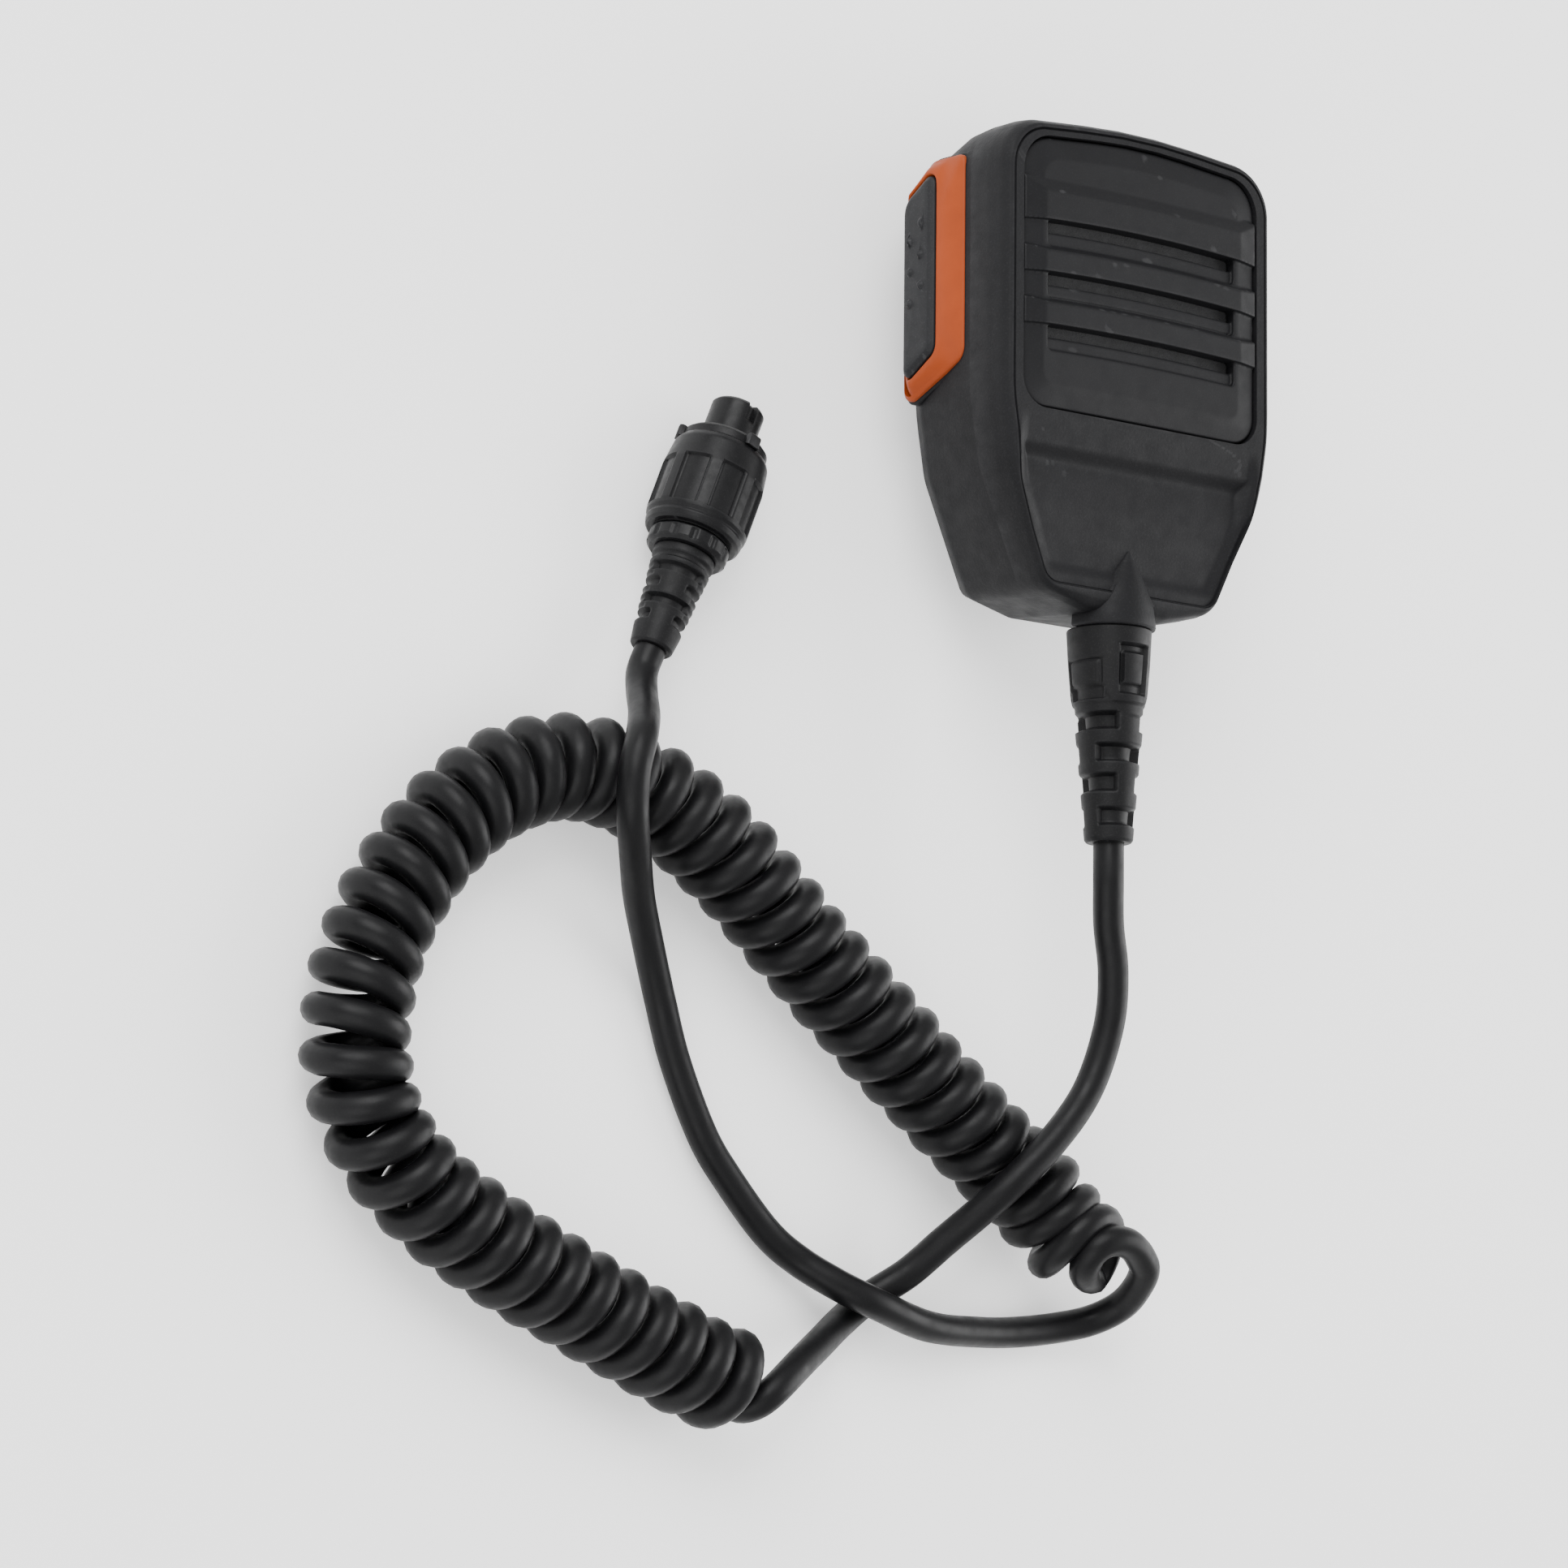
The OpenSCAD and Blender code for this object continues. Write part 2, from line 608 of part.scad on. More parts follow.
module lead_plug() {
    color([0.14, 0.14, 0.15]) swept(spline(lead_plug_route, 1), cord_d / 2, 10);
}

// ---------- Plug ----------

module plug_boot() {
    color([0.13, 0.13, 0.13]) on_plug() difference() {
        rotate_extrude() polygon([[0, 0], [3.5, 0], [3.75, 0.4], [4.2, 4.2], [3.6, 4.5], [3.6, 5.6], [4.4, 5.8],
            [4.6, 7], [3.9, 7.3], [3.9, 8.4], [4.8, 8.6], [5, 9.8], [4.2, 10.1], [4.2, 11.2], [5.1, 11.4],
            [5.5, 17.7], [5.5, 18.2], [4.4, 18.2], [4.4, 20.6], [0, 20.6]]);
        translate([0, 0, 17]) cylinder(h = 4, r = 2.2);
        for (s = [5, 9.2, 13.4]) translate([-2.4, -6, s]) cube([4.8, 2.6, 1.6]);
    }
}

module plug_collar() {
    color([0.15, 0.15, 0.16]) on_plug() difference() {
        rotate_extrude() polygon([[4.5, 18.3], [6.4, 18.3], [7.1, 19], [7.1, 21], [6.7, 21.4], [4.5, 21.4]]);
        for (a = [0 : 30 : 330]) rotate([0, 0, a]) translate([7.35, 0, 18]) cylinder(h = 5, r = 0.55);
    }
}

module plug_shell() {
    r = nose_d / 2;
    color([0.2, 0.2, 0.21]) on_plug() difference() {
        rotate_extrude() polygon([[0, 20.7], [4.4, 20.7], [4.4, 21.5], [6.9, 21.5], [6.9, 34.6], [6.2, 34.6],
            [6.2, 35.8], [6.9, 35.8], [6.9, 38], [6.4, 38.4], [6.4, 41], [6.1, 41.3], [r, 41.3],
            [r, plug_length - 0.6], [r - 0.5, plug_length], [0, plug_length]]);
        translate([0, 0, 41.8]) cylinder(h = 8, r = r - 0.95);
        translate([0, 0, 20]) cylinder(h = 18, r = 2.4);
        translate([-0.9, -r - 1, key_start]) cube([1.8, 1.7, 6]);
        for (a = [120, 240]) rotate([0, 0, a]) translate([-0.5, -r - 1.2, key_start]) cube([1, 1.7, 6]);
    }
}

module coupling_sleeve() {
    r = sleeve_d / 2;
    color([0.16, 0.16, 0.17]) on_plug() difference() {
        union() {
            rotate_extrude() polygon([[6.95, 21.7], [8.1, 21.7], [8.6, 22.2], [8.6, 23.6], [r, 24.4], [r, 33.4],
                [8.3, 38.6], [7.9, 39.2], [7.6, 39.2], [7.6, 40.4], [6.95, 40.4]]);
            for (a = [30, 150, 270]) rotate([0, 0, a]) translate([6.95 + 0.15, -1.4, 39]) cube([1.5, 2.8, 2]);
        }
        translate([0, 0, 34.4]) cylinder(h = 1.6, r = 7.8);
        for (a = [0 : 45 : 315]) rotate([0, 0, a + grip_turn]) translate([r - 0.6, -2.6, 25]) cube([1, 5.2, 8.6]);
    }
}

module sleeve_ring() {
    color([0.75, 0.75, 0.76]) on_plug(34.8) rotate_extrude(angle = 325) translate([6.3, 0]) square([1.35, 0.8]);
}

module plug_seal() {
    color([0.06, 0.06, 0.06]) on_plug(40.7) rotate_extrude() translate([6.72, 0]) circle(r = 0.3, $fn = 24);
}

function pin_spots() = concat([for (i = [0 : 6]) turned([0, pin_ring_r], i * 360 / 7)],
    [for (i = [0 : 2]) turned([0, 0.95], i * 120)]);

module plug_insert() {
    color([0.1, 0.1, 0.11]) on_plug() difference() {
        translate([0, 0, 41.9]) cylinder(h = 3.4, r = nose_d / 2 - 1);
        for (p = pin_spots()) translate([p.x, p.y, 41]) cylinder(h = 6, r = 0.36);
    }
}

module contact_pins() {
    color([0.85, 0.7, 0.35]) on_plug() for (p = pin_spots()) translate([p.x, p.y, 42.4]) {
        cylinder(h = 4.2, r = 0.33);
        translate([0, 0, 4.2]) cylinder(h = 0.5, r1 = 0.33, r2 = 0.15);
    }
}

front_shell();
rear_shell();
shell_seal();
housing_screws();
grille_panel();
grille_mesh();
mic_capsule();
capsule_holder();
circuit_board();
board_screws();
board_parts();
board_connector();
wire_plug();
inner_wires();
cord_clamp();
clamp_screws();
hang_button();
hang_button_screw();
button_insert();
ptt_bezel();
ptt_button();
plunger_seal();
ptt_switch();
switch_plunger();
cord_boot();
lead_mic();
cord_coil();
lead_plug();
plug_boot();
plug_collar();
coupling_sleeve();
sleeve_ring();
plug_shell();
plug_seal();
plug_insert();
contact_pins();
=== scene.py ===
"""Looks of the hand microphone: its curly cord, moulded shells, talk button, plug and materials.

Lengths are millimetres and become metres in make_mesh(). The camera, the lights, the floor and the
cord with its routes are in metres.
"""
import json
import math

import bmesh
import bpy
import numpy as np
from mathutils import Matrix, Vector


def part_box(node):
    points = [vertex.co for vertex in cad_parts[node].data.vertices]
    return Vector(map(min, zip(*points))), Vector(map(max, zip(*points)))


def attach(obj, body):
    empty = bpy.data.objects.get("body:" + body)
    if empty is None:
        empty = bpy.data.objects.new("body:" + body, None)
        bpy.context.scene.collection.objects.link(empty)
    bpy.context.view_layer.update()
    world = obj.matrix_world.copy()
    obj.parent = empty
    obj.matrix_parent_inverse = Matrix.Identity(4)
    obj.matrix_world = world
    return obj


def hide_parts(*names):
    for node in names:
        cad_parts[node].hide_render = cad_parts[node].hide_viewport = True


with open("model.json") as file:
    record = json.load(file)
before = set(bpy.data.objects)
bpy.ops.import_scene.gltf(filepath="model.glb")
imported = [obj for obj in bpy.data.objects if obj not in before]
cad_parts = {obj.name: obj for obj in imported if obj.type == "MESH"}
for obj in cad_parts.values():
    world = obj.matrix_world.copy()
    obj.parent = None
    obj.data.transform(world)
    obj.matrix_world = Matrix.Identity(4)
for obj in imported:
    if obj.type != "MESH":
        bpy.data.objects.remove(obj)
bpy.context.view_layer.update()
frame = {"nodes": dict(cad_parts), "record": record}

MM = 0.001

# ---------- The view and the cord's route ----------

CAMERA_PLACE = (-0.7169, -0.2493, 0.8332)
CAMERA_TURN = (8.747, -38.823, 0.805)  # degrees about X, Y and Z
CAMERA_LENS = 143.5

CORD_D = 0.0055
COIL_D = 0.0186
COIL_TURNS = 48
POINTS_PER_TURN = 28
POINTS_PER_SPAN = 8

LEAD_MIC_ROUTE = [
    (0, -0.084, 0.0296), (0, -0.091, 0.0296), (0.0015, -0.098, 0.028), (0.004, -0.106, 0.0264),
    (0.0045, -0.115, 0.0248), (0.0015, -0.126, 0.023), (-0.005, -0.135, 0.0219),
    (-0.0125, -0.143, 0.0195), (-0.017, -0.1485, 0.0155), (-0.021, -0.1535, 0.011),
    (-0.0255, -0.159, 0.0065), (-0.0315, -0.1635, 0.0032), (-0.038, -0.168, 0.0036),
    (-0.046, -0.1725, 0.0075), (-0.053, -0.176, 0.0115), (-0.06, -0.1795, 0.015),
]
COIL_ROUTE = [
    (-0.062, -0.181, 0.0094), (-0.072, -0.1785, 0.0094), (-0.084, -0.174, 0.0094),
    (-0.101, -0.167, 0.0094), (-0.117, -0.16, 0.0094), (-0.131, -0.152, 0.0094),
    (-0.14, -0.143, 0.0094), (-0.144, -0.133, 0.0094), (-0.144, -0.123, 0.0094),
    (-0.141, -0.112, 0.0094), (-0.135, -0.101, 0.0094), (-0.126, -0.0905, 0.0094),
    (-0.115, -0.083, 0.0094), (-0.103, -0.0795, 0.0094), (-0.091, -0.0805, 0.0094),
    (-0.079, -0.085, 0.0094), (-0.067, -0.0925, 0.0094), (-0.05, -0.1065, 0.0094),
    (-0.031, -0.121, 0.0094), (-0.0145, -0.1332, 0.0094), (-0.0072, -0.1382, 0.0094),
    (0, -0.143, 0.0096), (0.0045, -0.148, 0.0104), (0.0076, -0.152, 0.0126),
    (0.0092, -0.1546, 0.0156), (0.0097, -0.1559, 0.0184),
]
LEAD_PLUG_ROUTE = [
    (0.0084, -0.1499, 0.02), (0.0154, -0.152, 0.0202), (0.0196, -0.1562, 0.0174),
    (0.021, -0.1598, 0.0132), (0.0206, -0.1625, 0.0092), (0.0172, -0.1648, 0.0056),
    (0.011, -0.1663, 0.0034), (0.003, -0.1674, 0.0028), (-0.006, -0.168, 0.0036),
    (-0.021, -0.168, 0.0068), (-0.035, -0.165, 0.0094), (-0.042, -0.162, 0.0074),
    (-0.048, -0.158, 0.004), (-0.054, -0.1535, 0.0028), (-0.062, -0.1455, 0.0028),
    (-0.068, -0.138, 0.0028), (-0.074, -0.126, 0.0028), (-0.078, -0.116, 0.0036),
    (-0.083, -0.107, 0.0065), (-0.0885, -0.1, 0.011), (-0.0935, -0.094, 0.0164),
    (-0.0975, -0.088, 0.0208), (-0.0985, -0.0815, 0.0224), (-0.0965, -0.0755, 0.0216),
    (-0.0925, -0.0705, 0.017), (-0.0892, -0.066, 0.012), (-0.0872, -0.0616, 0.0093),
    (-0.0855, -0.0575, 0.0093),
]


def place_camera():
    camera = bpy.data.objects.new("camera", bpy.data.cameras.new("camera"))
    camera.location = CAMERA_PLACE
    camera.rotation_euler = [math.radians(angle) for angle in CAMERA_TURN]
    camera.data.lens = CAMERA_LENS
    camera.data.sensor_width = 36
    camera.data.clip_end = 20
    bpy.context.scene.collection.objects.link(camera)
    bpy.context.scene.camera = camera


def spline(points, pieces):
    """Points of a Catmull-Rom curve through the given ones, each span cut into pieces."""
    p = [Vector(point) for point in points]
    result = []
    for i in range(len(p) - 1):
        a, b, c, d = p[max(i - 1, 0)], p[i], p[i + 1], p[min(i + 2, len(p) - 1)]
        for k in range(pieces):
            t = k / pieces
            result.append(0.5 * (2 * b + (c - a) * t + (2 * a - 5 * b + 4 * c - d) * t * t
                                 + (3 * b - a - 3 * c + d) * t ** 3))
    return result + [p[-1]]


def evenly(points, count):
    """The same line, as count + 1 points that are equally far apart."""
    steps = [0.0]
    for a, b in zip(points, points[1:]):
        steps.append(steps[-1] + (b - a).length)
    result, i = [], 0
    for k in range(count + 1):
        wanted = steps[-1] * k / count
        while i < len(points) - 2 and steps[i + 1] < wanted:
            i += 1
        share = (wanted - steps[i]) / (steps[i + 1] - steps[i])
        result.append(points[i].lerp(points[i + 1], share))
    return result


def helix():
    """Left-handed turns about the coil's route. They start and end at the top."""
    count = COIL_TURNS * POINTS_PER_TURN
    middle = evenly(spline(COIL_ROUTE, 12), count)
    result = []
    for i, centre in enumerate(middle):
        ahead = (middle[min(i + 1, count)] - middle[max(i - 1, 0)]).normalized()
        side = ahead.cross(Vector((0, 0, 1))).normalized()
        up = side.cross(ahead)
        turn = 2 * math.pi * i / POINTS_PER_TURN
        uneven = 1 + 0.012 * math.sin(turn * 0.137) + 0.008 * math.sin(turn * 0.411 + 1)
        radius = (COIL_D - CORD_D) / 2 * uneven * 0.985
        result.append(centre + radius * (math.cos(turn) * up - math.sin(turn) * side))
    return result


def make_cord(material):
    lead_mic = spline(LEAD_MIC_ROUTE[:-1] + [helix()[0]], POINTS_PER_SPAN)[:-1]
    lead_plug = spline([helix()[-1]] + LEAD_PLUG_ROUTE[1:], POINTS_PER_SPAN)[1:]
    line = soften_joins(lead_mic + helix() + lead_plug)
    data = bpy.data.curves.new("cord", "CURVE")
    data.dimensions = "3D"
    data.bevel_depth = CORD_D / 2
    data.bevel_resolution = 5
    data.use_fill_caps = True
    run = data.splines.new("POLY")
    run.points.add(len(line) - 1)
    for point, place in zip(run.points, line):
        point.co = (*place, 1)
    run.use_smooth = True
    cord = bpy.data.objects.new("cord", data)
    bpy.context.scene.collection.objects.link(cord)
    data.materials.append(material)
    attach(cord, "casing")
    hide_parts("lead_mic", "cord_coil", "lead_plug")
    return cord


def soften_joins(line):
    """Rounds the two corners where the leads run into the coil, and leaves the rest alone."""
    first = (len(LEAD_MIC_ROUTE) - 1) * POINTS_PER_SPAN
    joins = [first, first + COIL_TURNS * POINTS_PER_TURN]
    reach = 14
    for _ in range(40):
        for join in joins:
            for i in range(join - reach, join + reach + 1):
                line[i] = (line[i - 1] + 2 * line[i] + line[i + 1]) / 4
    return line


# ---------- Light and floor ----------

FLOOR_REACH = 4.0
FLOOR_GAP = 0.0002
FLOOR_GLOW = 0.5  # the floor is lit from below, like a photographer's light table


def soft_light(name, place, aim, size, power):
    light = bpy.data.objects.new(name, bpy.data.lights.new(name, "AREA"))
    light.data.shape = "RECTANGLE"
    light.data.size, light.data.size_y = size
    light.data.energy = power
    light.location = place
    light.rotation_euler = (Vector(aim) - Vector(place)).to_track_quat("-Z", "Y").to_euler()
    bpy.context.scene.collection.objects.link(light)


def make_studio():
    aim = (-0.06, -0.07, 0.02)
    soft_light("key", (-0.75, 0.75, 0.95), aim, (1.0, 1.0), 26)
    soft_light("fill", (-0.9, -0.7, 0.6), aim, (1.0, 1.0), 8)
    soft_light("right", (0.95, -0.1, 0.5), aim, (0.8, 1.0), 13)
    world = bpy.data.worlds.new("studio")
    world.use_nodes = True
    sky = world.node_tree.nodes["Background"]
    sky.inputs["Color"].default_value = (1, 1, 1, 1)
    sky.inputs["Strength"].default_value = 1.0
    bpy.context.scene.world = world
    sheet = bpy.data.meshes.new("floor")
    corners = [(FLOOR_REACH * x, FLOOR_REACH * y, 0) for x, y in ((-1, -1), (1, -1), (1, 1), (-1, 1))]
    sheet.from_pydata(corners, [], [(0, 1, 2, 3)])
    floor = bpy.data.objects.new("floor", sheet)
    floor.location.z = -FLOOR_GAP
    bpy.context.scene.collection.objects.link(floor)
    paint = Paint("floor_paper", (0.9, 0.9, 0.9), 0.9)
    paint.shader.inputs["Emission Color"].default_value = (1, 1, 1, 1)
    paint.shader.inputs["Emission Strength"].default_value = FLOOR_GLOW
    paint.finish(floor)


# ---------- Materials ----------

class Paint:
    """A Principled material that is built up by steps: tint, roughness, bumps and lighter edges that are
    partly wear and partly painted highlight.
    """

    def __init__(self, name, colour, roughness, metal=0.0, specular=0.5):
        self.material = bpy.data.materials.new(name)
        self.material.use_nodes = True
        self.nodes = self.material.node_tree.nodes
        self.links = self.material.node_tree.links
        self.shader = self.nodes["Principled BSDF"]
        self.shader.inputs["Base Color"].default_value = (*colour, 1)
        self.shader.inputs["Roughness"].default_value = roughness
        self.shader.inputs["Metallic"].default_value = metal
        self.shader.inputs["Specular IOR Level"].default_value = specular
        self.colour = colour
        self.place = self.nodes.new("ShaderNodeTexCoord").outputs["Object"]
        self.tint = None
        self.height = None

    def noise(self, size, detail=2.0, stretch=None):
        """Noise whose spots are about size millimetres wide."""
        place = self.place
        if stretch:
            mapping = self.nodes.new("ShaderNodeMapping")
            mapping.inputs["Scale"].default_value = stretch
            self.links.new(place, mapping.inputs["Vector"])
            place = mapping.outputs["Vector"]
        node = self.nodes.new("ShaderNodeTexNoise")
        node.inputs["Scale"].default_value = 1 / (size * MM)
        node.inputs["Detail"].default_value = detail
        self.links.new(place, node.inputs["Vector"])
        return node.outputs["Fac"]

    def mapped(self, value, low, high, start=0.3, end=0.7):
        node = self.nodes.new("ShaderNodeMapRange")
        for key, number in (("From Min", start), ("From Max", end), ("To Min", low), ("To Max", high)):
            node.inputs[key].default_value = number
        self.links.new(value, node.inputs["Value"])
        return node.outputs["Result"]

    def mix(self, factor, a, b):
        """a and b are colours or sockets; the factor is a socket."""
        node = self.nodes.new("ShaderNodeMix")
        node.data_type = "RGBA"
        self.links.new(factor, node.inputs["Factor"])
        for key, value in (("A", a), ("B", b)):
            socket = [s for s in node.inputs if s.name == key and s.type == "RGBA"][0]
            if isinstance(value, tuple):
                socket.default_value = (*value, 1)
            else:
                self.links.new(value, socket)
        return [s for s in node.outputs if s.type == "RGBA"][0]

    def shades(self, size, amount, detail=3.0):
        """Slow variation of the colour."""
        low = tuple(c * (1 - amount) for c in self.colour)
        high = tuple(min(1.0, c * (1 + amount)) for c in self.colour)
        below = self.tint or low
        factor = self.mapped(self.noise(size, detail), 0, 1)
        self.tint = self.mix(factor, below, high)
        return self

    def specks(self, size, colour, amount):
        """Sparse fine specks of another colour, such as dust and painted glints on grain that catches the
        light.
        """
        factor = self.mapped(self.noise(size, 1.0), 0, amount, 0.55, 0.75)
        self.tint = self.mix(factor, self.tint or self.colour, colour)
        return self

    def wear_and_edge_highlight(self, colour, amount, start=0.52, end=0.6):
        """Lighter convex edges, broken up by noise: partly wear, partly a painted highlight along the edges.
        """
        edge = self.nodes.new("ShaderNodeNewGeometry").outputs["Pointiness"]
        ridge = self.mapped(edge, 0, amount, start, end)
        patch = self.mapped(self.noise(2.5, 4.0), 0.25, 1.0)
        both = self.nodes.new("ShaderNodeMath")
        both.operation = "MULTIPLY"
        self.links.new(ridge, both.inputs[0])
        self.links.new(patch, both.inputs[1])
        self.tint = self.mix(both.outputs["Value"], self.tint or self.colour, colour)
        return self

    def sheen_spots(self, size, low, high):
        """Roughness that wanders between low and high."""
        self.links.new(self.mapped(self.noise(size, 4.0), low, high), self.shader.inputs["Roughness"])
        return self

    def grain(self, size, depth, detail=2.0, stretch=None):
        """Bumps about size millimetres wide and depth millimetres high."""
        node = self.nodes.new("ShaderNodeBump")
        node.inputs["Strength"].default_value = 1.0
        node.inputs["Distance"].default_value = depth * MM
        self.links.new(self.noise(size, detail, stretch), node.inputs["Height"])
        if self.height:
            self.links.new(self.height, node.inputs["Normal"])
        self.height = node.outputs["Normal"]
        return self

    def finish(self, *objects):
        if self.tint:
            self.links.new(self.tint, self.shader.inputs["Base Color"])
        if self.height:
            self.links.new(self.height, self.shader.inputs["Normal"])
        for obj in objects:
            obj.data.materials.clear()
            obj.data.materials.append(self.material)
        return self.material


def make_paints():
    """Every finish by the name of its material slot in the record."""
    grey = (0.33, 0.33, 0.34)
    # The lighter convex edges on these finishes are partly wear and partly painted highlight.
    paints = {
        # The light specks on the dark finishes are partly dust and partly painted glints.
        "casing_plastic": Paint("casing_plastic", (0.006, 0.006, 0.0068), 0.55, specular=0.13)
        .shades(14, 0.10).specks(0.35, (0.014, 0.014, 0.0155), 0.45).wear_and_edge_highlight(grey, 0.04)
        .sheen_spots(3, 0.50, 0.62).grain(0.55, 0.035).grain(0.22, 0.02),
        "panel_plastic": Paint("panel_plastic", (0.006, 0.006, 0.0068), 0.5, specular=0.13)
        .shades(12, 0.08).specks(0.3, (0.013, 0.013, 0.0145), 0.35).wear_and_edge_highlight(grey, 0.05)
        .sheen_spots(3, 0.44, 0.56).grain(0.3, 0.012),
        "orange_plastic": Paint("orange_plastic", (0.245, 0.040, 0.008), 0.45, specular=0.13)
        .shades(6, 0.07).wear_and_edge_highlight((0.4, 0.10, 0.03), 0.2).sheen_spots(2, 0.40, 0.52).grain(0.3, 0.012),
        "talk_rubber": Paint("talk_rubber", (0.0105, 0.0107, 0.0118), 0.5, specular=0.16)
        .shades(6, 0.10).specks(0.3, (0.03, 0.03, 0.033), 0.35).wear_and_edge_highlight(grey, 0.07)
        .sheen_spots(2, 0.42, 0.56).grain(0.25, 0.012),
        "boot_rubber": Paint("boot_rubber", (0.005, 0.005, 0.0055), 0.5, specular=0.14)
        .shades(5, 0.12).specks(0.25, (0.035, 0.035, 0.035), 0.2).wear_and_edge_highlight((0.2, 0.2, 0.21), 0.07)
        .sheen_spots(2, 0.42, 0.56).grain(0.25, 0.012),
        "cord_jacket": Paint("cord_jacket", (0.004, 0.004, 0.0045), 0.42, specular=0.15)
        .shades(9, 0.14).specks(0.22, (0.03, 0.03, 0.03), 0.10).sheen_spots(3, 0.36, 0.50)
        .grain(1.6, 0.02).grain(0.18, 0.006),
        "seal_rubber": Paint("seal_rubber", (0.02, 0.02, 0.02), 0.75)
        .shades(4, 0.15).sheen_spots(1.5, 0.68, 0.82).grain(0.3, 0.02),
        "plug_plastic": Paint("plug_plastic", (0.0045, 0.0045, 0.005), 0.4, specular=0.15)
        .shades(5, 0.12).specks(0.2, (0.04, 0.04, 0.04), 0.15).wear_and_edge_highlight((0.25, 0.25, 0.26), 0.08)
        .sheen_spots(1.5, 0.32, 0.46).grain(0.2, 0.008),
        "dark_nylon": Paint("dark_nylon", (0.022, 0.022, 0.022), 0.5)
        .shades(4, 0.12).sheen_spots(1.5, 0.42, 0.6).grain(0.3, 0.015),
        "connector_nylon": Paint("connector_nylon", (0.72, 0.68, 0.57), 0.45)
        .shades(3, 0.06).sheen_spots(1.5, 0.38, 0.52).grain(0.4, 0.01),
        "plunger_red": Paint("plunger_red", (0.55, 0.07, 0.045), 0.4)
        .shades(1.5, 0.08).sheen_spots(1, 0.34, 0.46).grain(0.3, 0.01),
        "chip_plastic": Paint("chip_plastic", (0.025, 0.025, 0.027), 0.6)
        .shades(2, 0.15).sheen_spots(1, 0.55, 0.7).grain(0.15, 0.015),
        "board_green": Paint("board_green", (0.015, 0.11, 0.045), 0.35)
        .shades(2.5, 0.25).specks(0.8, (0.03, 0.2, 0.09), 0.5).sheen_spots(2, 0.28, 0.42)
        .grain(0.7, 0.02),
        "wire_pvc": Paint("wire_pvc", (0.35, 0.06, 0.05), 0.4)
        .shades(2, 0.15).sheen_spots(1, 0.34, 0.48).grain(0.4, 0.01),
        "dust_cloth": Paint("dust_cloth", (0.02, 0.02, 0.021), 0.9)
        .shades(3, 0.2).sheen_spots(1, 0.85, 0.95).grain(0.25, 0.08, 0.0),
        "capsule_aluminium": Paint("capsule_aluminium", (0.78, 0.78, 0.78), 0.32, metal=1.0)
        .shades(2, 0.05).sheen_spots(1, 0.26, 0.4).grain(0.2, 0.006, stretch=(1, 1, 8)),
        "zinc_steel": Paint("zinc_steel", (0.56, 0.57, 0.58), 0.35, metal=1.0)
        .shades(2, 0.08).sheen_spots(0.8, 0.28, 0.48).grain(0.15, 0.008),
        "button_metal": Paint("button_metal", (0.60, 0.60, 0.61), 0.28, metal=1.0)
        .shades(3, 0.06).wear_and_edge_highlight((0.8, 0.8, 0.8), 0.3).sheen_spots(1.5, 0.22, 0.4)
        .grain(0.12, 0.006, stretch=(1, 1, 12)),
        "spring_steel": Paint("spring_steel", (0.62, 0.62, 0.63), 0.25, metal=1.0)
        .shades(1, 0.06).sheen_spots(0.8, 0.2, 0.34).grain(0.1, 0.004),
        "insert_brass": Paint("insert_brass", (0.72, 0.52, 0.22), 0.3, metal=1.0)
        .shades(1.5, 0.1).sheen_spots(0.8, 0.24, 0.42).grain(0.15, 0.006),
        "contact_gold": Paint("contact_gold", (0.86, 0.62, 0.24), 0.22, metal=1.0)
        .shades(1, 0.06).sheen_spots(0.5, 0.18, 0.3).grain(0.08, 0.003),
    }
    return {name: paint.finish() for name, paint in paints.items()}


def paint_frame(paints):
    """Gives each CAD node the finish of its slot in the record."""
    for entry in frame["record"]["subparts"]:
        obj = frame["nodes"][entry["node"]]
        for i in range(len(obj.material_slots)):
            obj.material_slots[i].material = paints[entry["material_slot"]]
        if not obj.material_slots:
            obj.data.materials.append(paints[entry["material_slot"]])


# ---------- Shapes ----------

def unit(x, y):
    length = math.hypot(x, y)
    return x / length, y / length


def inset(corners, distance):
    """The [x, y, radius] corners of an anticlockwise outline, moved inwards."""
    result = []
    for i, (x, y, radius) in enumerate(corners):
        before, after = corners[i - 1], corners[(i + 1) % len(corners)]
        u, v = unit(x - before[0], y - before[1]), unit(after[0] - x, after[1] - y)
        scale = distance / (1 + u[0] * v[0] + u[1] * v[1])
        result.append([x - (u[1] + v[1]) * scale, y + (u[0] + v[0]) * scale, max(radius - distance, 0.4)])
    return result


def rounded(corners, is_closed=True, arc=4.0):
    """Points of a line whose [x, y, radius] corners are rounded by arcs."""
    result = []
    last = len(corners) - 1
    for i, (x, y, radius) in enumerate(corners):
        if radius == 0 or (not is_closed and i in (0, last)):
            result.append((x, y))
            continue
        before, after = corners[i - 1], corners[(i + 1) % len(corners)]
        u, v = unit(before[0] - x, before[1] - y), unit(after[0] - x, after[1] - y)
        half = math.acos(max(-1, min(1, u[0] * v[0] + u[1] * v[1]))) / 2
        if half > math.radians(89.5):
            result.append((x, y))
            continue
        reach = min(math.dist(before[:2], (x, y)), math.dist(after[:2], (x, y))) * 0.49
        tangent = min(radius / math.tan(half), reach)
        radius = tangent * math.tan(half)
        w = unit(u[0] + v[0], u[1] + v[1])
        cx, cy = x + w[0] * radius / math.sin(half), y + w[1] * radius / math.sin(half)
        start = math.atan2(y + u[1] * tangent - cy, x + u[0] * tangent - cx)
        end = math.atan2(y + v[1] * tangent - cy, x + v[0] * tangent - cx)
        sweep = (end - start + math.pi) % (2 * math.pi) - math.pi
        steps = max(2, math.ceil(abs(math.degrees(sweep)) / arc))
        for k in range(steps + 1):
            angle = start + sweep * k / steps
            result.append((cx + radius * math.cos(angle), cy + radius * math.sin(angle)))
    return result


